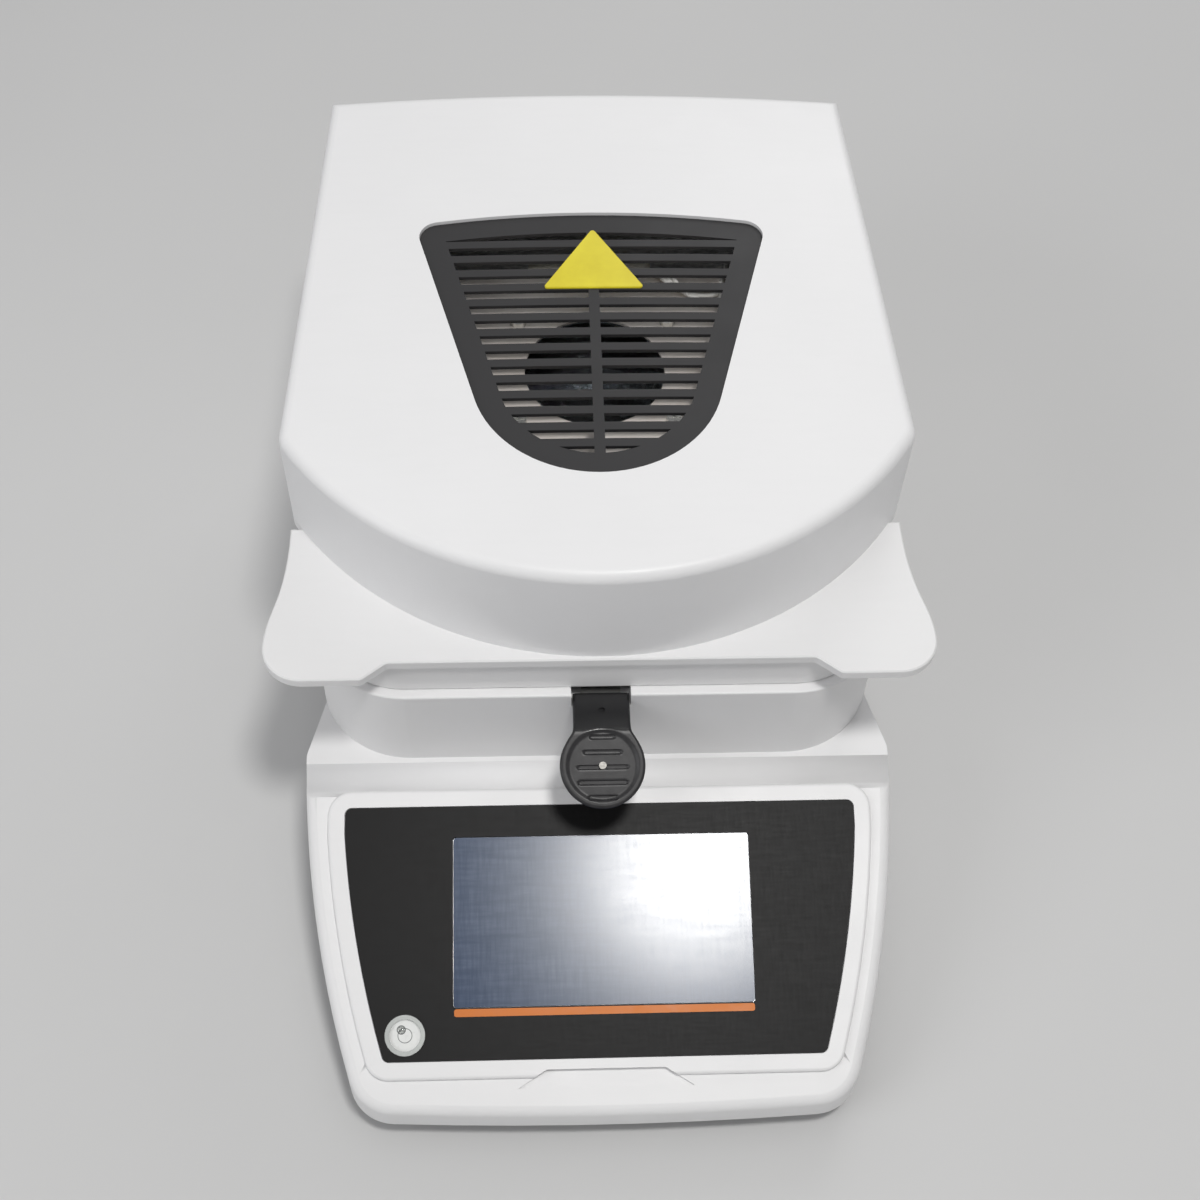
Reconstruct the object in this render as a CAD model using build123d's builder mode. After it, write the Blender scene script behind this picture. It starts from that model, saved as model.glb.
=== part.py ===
"""Moisture analyzer: a weighing base with a heated, hinged hood.

X points to the viewer's right, Y to the back and Z up. The origin is on the table,
in the middle of the instrument's length and width. Sizes are in millimetres.
"""

from build123d import *
from math import cos, radians, sin, sqrt, tan
import os

os.makedirs("parts", exist_ok=True)

# Base housing
wall = 3.0
base_front = -181.0
base_rear = 175.0
tray_z = 12.0
rim_z = 103.0
deck_z = 95.0
block_front = -58.0
block_half_front = 104.0
block_half_rear = 98.0
block_corner = 34.0
block_rear_corner = 9.0
shoulder_z = 60.6
hip_y = -56.0
hip_half = 108.0
waist_y = -31.0
waist_tuck = 2.0
nose_half = 87.0
nose_corner = 17.0
nose_bow = 2.6
rim_width = 7.0

# Sloped panel
panel_tilt = 18.4
screen_y = -117.7
screen_z = 47.0
panel_raise = 2.2
overlay_top = 41.5
overlay_bottom = -48.4
overlay_half_top = 92.9
overlay_half_bottom = 78.1
overlay_straight = 32.0
overlay_side_mid = (89.2, 0.0)
overlay_corner = 2.5
frame_border = 6.4
overlay_recess = 1.3
overlay_gauge = 1.0
screen_width = 107.2
screen_height = 60.3
cove_front = -73.2
cove_back = -60.0
cove_z = 57.0

# Hood
hood_front_radius = 128.6
hood_arc_y = 74.3
hood_half_front = 110.3
hood_half_rear = 100.5
hood_rear = 181.0
hood_rear_bow = 2.3
hood_corner = 9.0
hood_rear_corner = 5.0
hood_top = 170.0
hood_crown_radius = 2017.0
hood_edge_round = 4.0
hood_wall = 2.5
brim_z = 122.8
brim_gauge = 4.0
brim_front = -62.2
brim_half = 117.0
brim_corner = 14.0
brim_side_y = 2.0
notch_half = 78.4
notch_slope = 4.2
notch_y = -55.6
skirt_gap = 0.5
skirt_inset = 3.6
skirt_wall = 2.5

# Vent grille
grille_radius = 44.0
grille_arc_y = 33.5
grille_side_angle = 15.0
grille_rear_y = 107.6
grille_rear_bow = 5.0
grille_corner = 7.0
grille_border = 9.0
grille_gap = 0.3
grille_flange = 5.0
grille_sink = 1.2
slot_pitch = 7.3
slot_width = 3.8
slot_count = 15
slot_middle_y = 50.6
rib_width = 3.8

# Heating chamber, centred on the pan
chamber_y = 51.0
liner_radius = 76.0
liner_gauge = 0.8
liner_flange = 5.0
liner_floor_z = 80.0
shield_radius = 58.0
glass_radius = 72.0
glass_gauge = 2.8
glass_ledge = 4.0
vent_hole_radius = 25.5
heat_plate_z = 150.0

# Pan, pan support and lifter
pan_radius = 43.5
pan_floor_z = 93.9
pan_rim_z = 100.2
pan_rim_radius = 50.5
pan_gauge = 0.6
lifter_z = 97.8
lifter_gauge = 1.5
lifter_inner = 46.8
lifter_outer = 60.5
tongue_width = 14.0
spindle_radius = 3.0
fit = 0.05
rest_gap = 0.3

# Grip on the lifter
grip_half = 10.0
grip_back = -55.4
grip_bend = -71.0
grip_top = 100.6
grip_thick = 4.2
grip_tilt = 28.0
grip_disc = 15.0
grip_disc_reach = 12.0

# Hinges
hinge_x = 60.0
knuckle_radius = 3.3
hinge_pin_radius = 1.5
leaf_gauge = 2.0
leaf_half = 20.0
middle_knuckle_half = 6.5
knuckle_gap = 0.4
hinge_leaf_depth = 20.0

# Feet
foot_x_front = 78.0
foot_x_rear = 80.0
foot_y_front = -138.0
foot_y_rear = 140.0
foot_pad_radius = 12.0
foot_pad_height = 3.0
foot_wheel_radius = 15.0
foot_wheel_height = 6.0
stud_radius = 3.0
insert_radius = 5.0
foot_boss_radius = 9.0
foot_boss_height = 10.0
knurl_count = 16
tray_gauge = 2.5

# Worked out from the sizes above
tray_top = tray_z + tray_gauge
skirt_z = rim_z + skirt_gap
brim_under = brim_z - brim_gauge
hinge_y = base_rear
hinge_z = rim_z + 1.4
slope = tan(radians(panel_tilt))
panel_plane = Plane(
    origin=(0, screen_y, screen_z),
    x_dir=(1, 0, 0),
    z_dir=(0, -sin(radians(panel_tilt)), cos(radians(panel_tilt))),
)
chamber_axis = Axis((0, chamber_y, 0), (0, 0, 1))
chamber_section = Plane(origin=(0, chamber_y, 0), x_dir=(1, 0, 0), z_dir=(0, -1, 0))


def skin_z(y):
    """Height of the sloped skin beside the panel frame."""
    return screen_z + (y - screen_y) * slope - panel_raise / cos(radians(panel_tilt))


def block_half(y):
    """Half width of the tapered block under the hood."""
    share = (y - block_front) / (base_rear - block_front)
    return block_half_front + share * (block_half_rear - block_half_front)


def crown_z(x):
    """Height of the crowned roof of the hood."""
    return hood_top - hood_crown_radius + sqrt(hood_crown_radius**2 - x**2)


def block_outline(inset):
    """Plan of the block that carries the hood, pulled in by inset."""
    with BuildSketch() as outline:
        with BuildLine():
            Polyline(
                (block_half_front, block_front),
                (block_half_rear, base_rear),
                (-block_half_rear, base_rear),
                (-block_half_front, block_front),
                close=True,
            )
        make_face()
        corners = outline.vertices().sort_by(Axis.Y)
        fillet(corners[:2], radius=block_corner)
        fillet(corners[2:], radius=block_rear_corner)
        if inset:
            offset(amount=-inset)
    return outline.sketch


def nose_outline(inset):
    """Plan of the front of the base, which carries the sloped panel."""
    waist_half = block_half(waist_y) - waist_tuck
    inner = waist_half - 12
    with BuildSketch() as outline:
        with BuildLine():
            for side in (1, -1):
                Polyline(
                    (side * inner, 0),
                    (side * inner, waist_y),
                    (side * waist_half, waist_y),
                    (side * hip_half, hip_y),
                )
                TangentArc(
                    (side * hip_half, hip_y),
                    (side * nose_half, base_front + nose_bow),
                    tangent=(0, -1),
                )
            ThreePointArc(
                (nose_half, base_front + nose_bow), (0, base_front), (-nose_half, base_front + nose_bow)
            )
            Line((-inner, 0), (inner, 0))
        make_face()
        fillet(outline.vertices().sort_by(Axis.Y)[:2], radius=nose_corner)
        hips = outline.vertices().filter_by(lambda v: abs(v.Y - hip_y) < 1)
        fillet(hips, radius=5)
        if inset:
            offset(amount=-inset)
    return outline.sketch


def hood_outline(inset):
    """Plan of the hood: a bow at the front, tapered sides and a slightly bowed back."""
    corner_y = hood_arc_y - sqrt(hood_front_radius**2 - hood_half_front**2)
    front = (0, hood_arc_y - hood_front_radius)
    with BuildSketch() as outline:
        with BuildLine():
            ThreePointArc((hood_half_front, corner_y), front, (-hood_half_front, corner_y))
            Line((-hood_half_front, corner_y), (-hood_half_rear, hood_rear - hood_rear_bow))
            ThreePointArc(
                (-hood_half_rear, hood_rear - hood_rear_bow),
                (0, hood_rear),
                (hood_half_rear, hood_rear - hood_rear_bow),
            )
            Line((hood_half_rear, hood_rear - hood_rear_bow), (hood_half_front, corner_y))
        make_face()
        corners = outline.vertices().sort_by(Axis.Y)
        fillet(corners[:2], radius=hood_corner)
        fillet(corners[2:], radius=hood_rear_corner)
        if inset:
            offset(amount=-inset)
    return outline.sketch


def overlay_outline(grow):
    """Black panel in the panel plane: straight at the top, drawn in towards the bottom."""
    with BuildSketch() as outline:
        with BuildLine():
            for side in (1, -1):
                Line((side * overlay_half_top, overlay_top), (side * overlay_half_top, overlay_straight))
                ThreePointArc(
                    (side * overlay_half_top, overlay_straight),
                    (side * overlay_side_mid[0], overlay_side_mid[1]),
                    (side * overlay_half_bottom, overlay_bottom),
                )
            Line((overlay_half_top, overlay_top), (-overlay_half_top, overlay_top))
            Line((overlay_half_bottom, overlay_bottom), (-overlay_half_bottom, overlay_bottom))
        make_face()
        ends = outline.vertices().sort_by(Axis.Y)
        fillet(ends[:2] + ends[-2:], radius=overlay_corner)
        if grow:
            offset(amount=grow)
    return outline.sketch


def grille_outline(grow):
    """Shield-shaped plan of the vent: an arc in front, straight sides, a bowed rear edge."""
    angle = radians(grille_side_angle)
    touch_x = grille_radius * cos(angle)
    touch_y = grille_arc_y - grille_radius * sin(angle)
    rear_x = touch_x + (grille_rear_y - touch_y) * tan(angle)
    with BuildSketch() as outline:
        with BuildLine():
            ThreePointArc(
                (touch_x, touch_y), (0, grille_arc_y - grille_radius), (-touch_x, touch_y)
            )
            Line((-touch_x, touch_y), (-rear_x, grille_rear_y))
            ThreePointArc(
                (-rear_x, grille_rear_y), (0, grille_rear_y + grille_rear_bow), (rear_x, grille_rear_y)
            )
            Line((rear_x, grille_rear_y), (touch_x, touch_y))
        make_face()
        fillet(outline.vertices().sort_by(Axis.Y)[-2:], radius=grille_corner)
        if grow:
            offset(amount=grow)
    return outline.sketch


def brim_outline():
    """Plan of the hood frame: the hood's own outline with two wings and a notch in front."""
    hood = hood_outline(0)
    with BuildSketch() as outline:
        with BuildLine():
            for side in (1, -1):
                Polyline(
                    (0, notch_y),
                    (side * (notch_half - notch_slope), notch_y),
                    (side * (notch_half + notch_slope), brim_front),
                    (side * (brim_half - brim_corner), brim_front),
                )
                TangentArc(
                    (side * (brim_half - brim_corner), brim_front),
                    (side * brim_half, brim_front + brim_corner),
                    tangent=(side, 0),
                )
                Spline(
                    (side * brim_half, brim_front + brim_corner),
                    (side * (brim_half - 3.8), -28),
                    (side * hood_half_front, brim_side_y),
                    tangents=((0, 1), (0, 1)),
                )
            Line((-hood_half_front, brim_side_y), (hood_half_front, brim_side_y))
        make_face()
        notch = outline.vertices().filter_by(lambda v: notch_half - 6 < abs(v.X) < notch_half + 6)
        fillet(notch, radius=3)
        add(hood)
    return outline.sketch


def nose_form(inset, floor_z, drop, cap_z):
    """Front of the base under the sloped skin, pulled in by inset and lowered by drop."""
    outline = nose_outline(inset)
    with BuildPart() as form:
        with BuildSketch(Plane.XY.offset(floor_z)):
            add(outline)
        extrude(amount=cap_z - floor_z)
        with BuildSketch(panel_plane.offset(-panel_raise - drop)):
            Rectangle(3 * hip_half, 6 * hip_half)
        extrude(amount=2 * hip_half, mode=Mode.SUBTRACT)
    return form.part


def hood_form(inset, floor_z, drop, edge_round):
    """Crowned hood, pulled in by inset and lowered by drop."""
    outline = hood_outline(inset)
    side = hood_half_front * 1.2
    with BuildPart() as form:
        with BuildSketch(Plane.XY.offset(floor_z)):
            add(outline)
        extrude(amount=hood_top + 10 - floor_z)
        with BuildSketch(Plane.XZ):
            with BuildLine():
                ThreePointArc(
                    (-side, crown_z(side) - drop), (0, hood_top - drop), (side, crown_z(side) - drop)
                )
                Polyline(
                    (-side, crown_z(side) - drop),
                    (-side, hood_top + 30),
                    (side, hood_top + 30),
                    (side, crown_z(side) - drop),
                )
            make_face()
        extrude(amount=2 * hood_rear, both=True, mode=Mode.SUBTRACT)
        roof = form.faces().sort_by(Axis.Z)[-1]
        fillet(roof.edges(), radius=edge_round)
    return form.part


def roof_band(top_drop, bottom_drop, outline):
    """Slice between two crowned levels under the roof, cut to an outline."""
    side = hood_half_front
    with BuildPart() as band:
        with BuildSketch(Plane.XZ):
            with BuildLine():
                ThreePointArc(
                    (-side, crown_z(side) - top_drop),
                    (0, hood_top - top_drop),
                    (side, crown_z(side) - top_drop),
                )
                Line((side, crown_z(side) - top_drop), (side, crown_z(side) - bottom_drop))
                ThreePointArc(
                    (side, crown_z(side) - bottom_drop),
                    (0, hood_top - bottom_drop),
                    (-side, crown_z(side) - bottom_drop),
                )
                Line((-side, crown_z(side) - bottom_drop), (-side, crown_z(side) - top_drop))
            make_face()
        extrude(amount=hood_rear, both=True)
        with BuildSketch(Plane.XY.offset(hood_top / 2)):
            add(outline)
        extrude(amount=hood_top, mode=Mode.INTERSECT)
    return band.part


def screw_set(points, seat, head_radius, head_height, shank_radius, length):
    """Pan-head screws with a slot: heads stand on the seat plane, shanks point down from it."""
    slot = head_radius / 4
    with BuildPart() as screws:
        with BuildSketch(seat):
            with Locations(*points):
                Circle(head_radius)
        extrude(amount=head_height, taper=10)
        with BuildSketch(seat):
            with Locations(*points):
                Circle(shank_radius)
        extrude(amount=-length)
        with BuildSketch(seat.offset(head_height)):
            with Locations(*points):
                Rectangle(1.6 * head_radius, slot)
                Rectangle(slot, 1.6 * head_radius)
        extrude(amount=-head_height / 2, mode=Mode.SUBTRACT)
    return screws.part


def sunk_screws(points, seat, head_radius, shank_radius, length):
    """Countersunk screws, flush with the seat plane."""
    with BuildPart() as screws:
        with BuildSketch(seat):
            with Locations(*points):
                Circle(head_radius)
        extrude(amount=shank_radius - head_radius, taper=45)
        with BuildSketch(seat):
            with Locations(*points):
                Circle(shank_radius)
        extrude(amount=-length)
    return screws.part


def ring_of(profile):
    """Solid turned about the chamber's centre line from (radius, height) points."""
    with BuildPart() as turned:
        with BuildSketch(chamber_section):
            with BuildLine():
                Polyline(*profile, close=True)
            make_face()
        revolve(axis=chamber_axis)
    return turned.part


# Feet: rubber pad, knurled wheel and threaded stud, each turning in an insert of the tray
corners = {
    "front_left": (-foot_x_front, foot_y_front),
    "front_right": (foot_x_front, foot_y_front),
    "rear_left": (-foot_x_rear, foot_y_rear),
    "rear_right": (foot_x_rear, foot_y_rear),
}
wheel_top = foot_pad_height + foot_wheel_height
for corner, spot in corners.items():
    with BuildPart() as foot_pad:
        with Locations(spot):
            Cylinder(foot_pad_radius, foot_pad_height, align=(Align.CENTER, Align.CENTER, Align.MIN))
        chamfer(foot_pad.edges().sort_by(Axis.Z)[0], length=0.8)
    foot_pad.part.label = f"foot_pad_{corner}"
    export_step(foot_pad.part, f"parts/foot_pad_{corner}.step")

    with BuildPart() as foot_wheel:
        with BuildSketch(Plane.XY.offset(foot_pad_height)):
            with Locations(spot):
                Circle(foot_wheel_radius)
                with PolarLocations(foot_wheel_radius + 1.2, knurl_count):
                    Circle(2, mode=Mode.SUBTRACT)
        extrude(amount=foot_wheel_height)
        with BuildSketch(Plane.XY.offset(wheel_top)):
            with Locations(spot):
                Circle(stud_radius)
        extrude(amount=tray_top + foot_boss_height - 1 - wheel_top)
        chamfer(foot_wheel.edges().sort_by(Axis.Z)[-1], length=0.6)
    foot_wheel.part.label = f"foot_wheel_{corner}"
    export_step(foot_wheel.part, f"parts/foot_wheel_{corner}.step")

with BuildPart() as foot_inserts:
    with BuildSketch(Plane.XY.offset(tray_top)):
        with Locations(*corners.values()):
            Circle(insert_radius)
            Circle(stud_radius + fit, mode=Mode.SUBTRACT)
    extrude(amount=foot_boss_height)
foot_inserts.part.label = "foot_inserts"
export_step(foot_inserts.part, "parts/foot_inserts.step")

# Screws that hold the tray to the posts of the housing
front_posts = [(-91, -98), (91, -98), (-62, -163), (62, -163)]
rear_posts = [(-91, 0), (91, 0), (-86, 158), (86, 158)]
post_radius = 4.5
tray_head_radius = 2.8
tray_head_height = 1.2
tray_seat = Plane(origin=(0, 0, tray_z + tray_head_height), x_dir=(1, 0, 0), z_dir=(0, 0, -1))
tray_screw_points = [(x, -y) for x, y in front_posts + rear_posts]
tray_screws_part = screw_set(tray_screw_points, tray_seat, tray_head_radius, tray_head_height, 1.5, 10)
with BuildPart() as tray_screws:
    add(tray_screws_part)
tray_screws.part.label = "tray_screws"
export_step(tray_screws.part, "parts/tray_screws.step")

# Hinges: base leaf with two knuckles, hood leaf with the middle knuckle, and a pin
leaf_seat = hinge_z - knuckle_radius
leaf_top = leaf_seat + leaf_gauge
hinge_section = Plane(origin=(0, hinge_y, hinge_z), x_dir=(0, 1, 0), z_dir=(1, 0, 0))
outer_knuckle = leaf_half - middle_knuckle_half - knuckle_gap
outer_knuckle_x = middle_knuckle_half + knuckle_gap + outer_knuckle / 2
base_leaf_points = [(side * hinge_x + dx, hinge_y - 15) for side in (1, -1) for dx in (-12, 12)]
base_hinge_screws = sunk_screws(base_leaf_points, Plane.XY.offset(leaf_top), 2.8, 1.5, 7)
hood_leaf_seat_y = base_rear - skirt_inset
hood_leaf_plane = Plane(origin=(0, hood_leaf_seat_y + leaf_gauge, 0), x_dir=(-1, 0, 0), z_dir=(0, 1, 0))
hood_leaf_points = [(side * hinge_x + dx, brim_under - 4.6) for side in (1, -1) for dx in (-12, 12)]
hood_hinge_screws = sunk_screws(hood_leaf_points, hood_leaf_plane, 2.8, 1.5, 3.6)
with BuildPart() as base_hinges:
    for side in (1, -1):
        with Locations((side * hinge_x, hinge_y - hinge_leaf_depth, leaf_seat)):
            Box(
                2 * leaf_half,
                hinge_leaf_depth - knuckle_radius,
                leaf_gauge,
                align=(Align.CENTER, Align.MIN, Align.MIN),
            )
        for end in (1, -1):
            knuckle_x = side * hinge_x + end * outer_knuckle_x
            with Locations((knuckle_x, hinge_y, leaf_seat)):
                Box(
                    outer_knuckle,
                    knuckle_radius,
                    leaf_gauge,
                    align=(Align.CENTER, Align.MAX, Align.MIN),
                )
            with Locations((knuckle_x, hinge_y, hinge_z)):
                Cylinder(knuckle_radius, outer_knuckle, rotation=(0, 90, 0))
                Cylinder(hinge_pin_radius, outer_knuckle, rotation=(0, 90, 0), mode=Mode.SUBTRACT)
    add(base_hinge_screws, mode=Mode.SUBTRACT)
base_hinges.part.label = "base_hinges"
export_step(base_hinges.part, "parts/base_hinges.step")

with BuildPart() as hood_hinges:
    for side in (1, -1):
        with Locations((side * hinge_x, hood_leaf_seat_y, hinge_z + knuckle_radius + 1)):
            Box(
                2 * leaf_half,
                leaf_gauge,
                brim_under - hinge_z - knuckle_radius - 1,
                align=(Align.CENTER, Align.MIN, Align.MIN),
            )
        with Locations((side * hinge_x, hood_leaf_seat_y, hinge_z)):
            Box(
                2 * middle_knuckle_half,
                leaf_gauge,
                knuckle_radius + 2,
                align=(Align.CENTER, Align.MIN, Align.MIN),
            )
        with Locations((side * hinge_x, hinge_y, hinge_z)):
            Cylinder(knuckle_radius, 2 * middle_knuckle_half, rotation=(0, 90, 0))
            Cylinder(hinge_pin_radius + fit, 2 * middle_knuckle_half, rotation=(0, 90, 0), mode=Mode.SUBTRACT)
    add(hood_hinge_screws, mode=Mode.SUBTRACT)
hood_hinges.part.label = "hood_hinges"
export_step(hood_hinges.part, "parts/hood_hinges.step")

with BuildPart() as hinge_pins:
    with Locations((hinge_x, hinge_y, hinge_z), (-hinge_x, hinge_y, hinge_z)):
        Cylinder(hinge_pin_radius, 2 * leaf_half, rotation=(0, 90, 0))
hinge_pins.part.label = "hinge_pins"
export_step(hinge_pins.part, "parts/hinge_pins.step")

with BuildPart() as base_hinge_screw_set:
    add(base_hinge_screws)
base_hinge_screw_set.part.label = "base_hinge_screws"
export_step(base_hinge_screw_set.part, "parts/base_hinge_screws.step")

with BuildPart() as hood_hinge_screw_set:
    add(hood_hinge_screws)
hood_hinge_screw_set.part.label = "hood_hinge_screws"
export_step(hood_hinge_screw_set.part, "parts/hood_hinge_screws.step")

# Rubber strips on the rim, on which the closed hood rests
strip_length = 16.0
strip_width = 2.2
strip_depth = 1.5
strip_inset = skirt_inset + skirt_wall / 2
strip_spots = [
    (side * (block_half(y) - strip_inset), y) for side in (1, -1) for y in (10.0, 130.0)
]
with BuildPart() as rim_strips:
    with BuildSketch(Plane.XY.offset(rim_z - strip_depth)):
        with Locations(*strip_spots):
            Rectangle(strip_width, strip_length)
    extrude(amount=strip_depth + skirt_gap)
rim_strips.part.label = "rim_strips"
export_step(rim_strips.part, "parts/rim_strips.step")

# Display: touch glass over a module, held from behind by a sheet-metal bracket
glass_sink = 0.5
touch_gauge = 1.5
module_margin = 6.5
module_depth = 5.0
bracket_gauge = 1.2
bracket_margin = 6.5
bracket_boss_radius = 2.9
module_width = screen_width + 2 * module_margin
module_height = screen_height + 2 * module_margin
module_top = -glass_sink - touch_gauge
bracket_top = module_top - module_depth
skin_under = -panel_raise - wall
bracket_points = [
    (side * (module_width + bracket_margin) / 2, end * module_height / 3)
    for side in (1, -1)
    for end in (1, -1)
]
level_spot = (-70.7, -39.4)
level_radius = 6.4
level_depth = 8.0
with BuildPart() as touch_glass:
    with BuildSketch(panel_plane.offset(-glass_sink)):
        RectangleRounded(screen_width, screen_height, 1)
    extrude(amount=-touch_gauge)
touch_glass.part.label = "touch_glass"
export_step(touch_glass.part, "parts/touch_glass.step")

with BuildPart() as display_module:
    with BuildSketch(panel_plane.offset(module_top)):
        Rectangle(module_width, module_height)
    extrude(amount=-module_depth)
    chamfer(display_module.edges().filter_by(Axis(origin=(0, 0, 0), direction=panel_plane.z_dir)), length=1)
display_module.part.label = "display_module"
export_step(display_module.part, "parts/display_module.step")

bracket_seat = Plane(
    origin=panel_plane.offset(bracket_top - bracket_gauge).origin,
    x_dir=(1, 0, 0),
    z_dir=-panel_plane.z_dir,
)
bracket_screw_points = [(x, -y) for x, y in bracket_points]
bracket_screws_part = screw_set(bracket_screw_points, bracket_seat, 2.4, 1.4, 1.2, 4)
with BuildPart() as display_bracket:
    with BuildSketch(panel_plane.offset(bracket_top)):
        Rectangle(module_width + 2 * bracket_margin, module_height - 16)
        Rectangle(module_width - 30, module_height - 30, mode=Mode.SUBTRACT)
    extrude(amount=-bracket_gauge)
    add(bracket_screws_part, mode=Mode.SUBTRACT)
display_bracket.part.label = "display_bracket"
export_step(display_bracket.part, "parts/display_bracket.step")

with BuildPart() as bracket_screws:
    add(bracket_screws_part)
bracket_screws.part.label = "bracket_screws"
export_step(bracket_screws.part, "parts/bracket_screws.step")

overlay_plan = overlay_outline(0)
overlay_sink = overlay_recess - overlay_gauge
with BuildPart() as panel_overlay:
    with BuildSketch(panel_plane.offset(-overlay_sink)):
        add(overlay_plan)
        RectangleRounded(screen_width + 0.4, screen_height + 0.4, 1.2, mode=Mode.SUBTRACT)
        with Locations(level_spot):
            Circle(level_radius, mode=Mode.SUBTRACT)
    extrude(amount=-overlay_gauge)
panel_overlay.part.label = "panel_overlay"
export_step(panel_overlay.part, "parts/panel_overlay.step")

with BuildPart() as level_vial:
    with BuildSketch(panel_plane.offset(-overlay_sink)):
        with Locations(level_spot):
            Circle(level_radius)
    extrude(amount=-level_depth)
level_vial.part.label = "level_vial"
export_step(level_vial.part, "parts/level_vial.step")

with BuildPart() as level_ring:
    with BuildSketch(panel_plane.offset(-overlay_sink)):
        with Locations(level_spot):
            Circle(level_radius + 0.7)
            Circle(level_radius - 0.9, mode=Mode.SUBTRACT)
    extrude(amount=0.8)
level_ring.part.label = "level_ring"
export_step(level_ring.part, "parts/level_ring.step")

# Rear sockets: each has a body behind the wall and a flange against its outside
rear_plane = Plane(origin=(0, base_rear, 0), x_dir=(-1, 0, 0), z_dir=(0, 1, 0))
port_z = 46.0
inlet_spot = (62.0, port_z)
inlet_body = (28.0, 31.0)
inlet_depth = 24.0
inlet_flange = (50.0, 36.0)
flange_gauge = 2.2
inlet_mouth = (24.6, 16.6)
inlet_mouth_z = port_z + 5.2
inlet_mouth_depth = 17.0
drawer_size = (22.0, 7.0)
drawer_depth = 18.0
drawer_z = port_z - 10.0
drawer_gap = 0.2
inlet_screw_points = [(inlet_spot[0] - 20, port_z), (inlet_spot[0] + 20, port_z)]
switch_spot = (22.0, port_z)
switch_bezel = (15.0, 21.0)
switch_body = (13.0, 19.4)
switch_depth = 15.0
rocker_half = 7.8
rocker_width = 10.4
rocker_pivot_y = base_rear - 2.5
rocker_pin_radius = 1.2
serial_spot = (-26.0, port_z)
serial_body = (20.0, 10.5)
usb_spot = (-62.0, port_z)
usb_body = (14.4, 7.4)
usb_depth = 14.0

inlet_screws_part = screw_set(inlet_screw_points, rear_plane.offset(flange_gauge), 2.8, 1.4, 1.5, 7)
with BuildPart() as power_inlet:
    with BuildSketch(rear_plane):
        with Locations(inlet_spot):
            RectangleRounded(*inlet_flange, 3)
    extrude(amount=flange_gauge)
    with BuildSketch(rear_plane):
        with Locations(inlet_spot):
            Rectangle(*inlet_body)
    extrude(amount=-inlet_depth)
    with BuildSketch(rear_plane.offset(flange_gauge)):
        with Locations((inlet_spot[0], inlet_mouth_z)):
            mouth = Rectangle(*inlet_mouth)
        chamfer(mouth.vertices().sort_by(Axis.Y)[-2:], length=4)
    extrude(amount=-inlet_mouth_depth, mode=Mode.SUBTRACT)
    with BuildSketch(rear_plane.offset(flange_gauge - inlet_mouth_depth)):
        with Locations((inlet_spot[0], inlet_mouth_z + 2)):
            Rectangle(2, 4)
        with Locations((inlet_spot[0] - 7, inlet_mouth_z - 2), (inlet_spot[0] + 7, inlet_mouth_z - 2)):
            Rectangle(2, 4)
    extrude(amount=inlet_mouth_depth - 4)
    with BuildSketch(rear_plane.offset(flange_gauge)):
        with Locations((inlet_spot[0], drawer_z)):
            Rectangle(drawer_size[0] + 2 * drawer_gap, drawer_size[1] + 2 * drawer_gap)
    extrude(amount=-drawer_depth - 1, mode=Mode.SUBTRACT)
    add(inlet_screws_part, mode=Mode.SUBTRACT)
power_inlet.part.label = "power_inlet"
export_step(power_inlet.part, "parts/power_inlet.step")

with BuildPart() as inlet_screws:
    add(inlet_screws_part)
inlet_screws.part.label = "inlet_screws"
export_step(inlet_screws.part, "parts/inlet_screws.step")

fuse_radius = 2.5
fuse_length = 19.0
fuse_y = base_rear - drawer_depth + flange_gauge + 5
with BuildPart() as fuse_drawer:
    with BuildSketch(rear_plane.offset(flange_gauge)):
        with Locations((inlet_spot[0], drawer_z)):
            Rectangle(*drawer_size)
    extrude(amount=-drawer_depth)
    with BuildSketch(rear_plane.offset(flange_gauge)):
        with Locations((inlet_spot[0], drawer_z)):
            RectangleRounded(drawer_size[0] + 3, drawer_size[1] + 2, 1)
    extrude(amount=1.4)
    with BuildSketch(rear_plane.offset(flange_gauge + 1.4)):
        with Locations((inlet_spot[0], drawer_z + 2.5)):
            Rectangle(6, 1.2)
    extrude(amount=0.8)
    with Locations((-inlet_spot[0], fuse_y, drawer_z + drawer_size[1] / 2)):
        Box(fuse_length + 0.4, 2 * fuse_radius, drawer_size[1] - 0.8, mode=Mode.SUBTRACT,
            align=(Align.CENTER, Align.CENTER, Align.MAX))
fuse_drawer.part.label = "fuse_drawer"
export_step(fuse_drawer.part, "parts/fuse_drawer.step")

with BuildPart() as fuse:
    with Locations((-inlet_spot[0], fuse_y, drawer_z - drawer_size[1] / 2 + 0.8 + fuse_radius)):
        Cylinder(fuse_radius, fuse_length, rotation=(0, 90, 0))
fuse.part.label = "fuse"
export_step(fuse.part, "parts/fuse.step")

bezel_gauge = 2.0
rocker_tilt = 9.0
rocker_section = Plane(
    origin=(-switch_spot[0], rocker_pivot_y, port_z),
    x_dir=(0, cos(radians(rocker_tilt)), sin(radians(rocker_tilt))),
    z_dir=(1, 0, 0),
)
rocker_face = base_rear + bezel_gauge - rocker_pivot_y
with BuildPart() as switch_rocker:
    with BuildSketch(rocker_section):
        with BuildLine():
            Polyline(
                (rocker_face + 1.4, -rocker_half),
                (rocker_face, 0),
                (rocker_face + 1.4, rocker_half),
                (0, rocker_half - 1.2),
                (-5, 3),
                (-5, -3),
                (0, -rocker_half + 1.2),
                close=True,
            )
        make_face()
    extrude(amount=rocker_width / 2, both=True)
    with BuildSketch(rocker_section):
        Circle(rocker_pin_radius)
    extrude(amount=switch_body[0] / 2 - 0.4, both=True)
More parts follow.
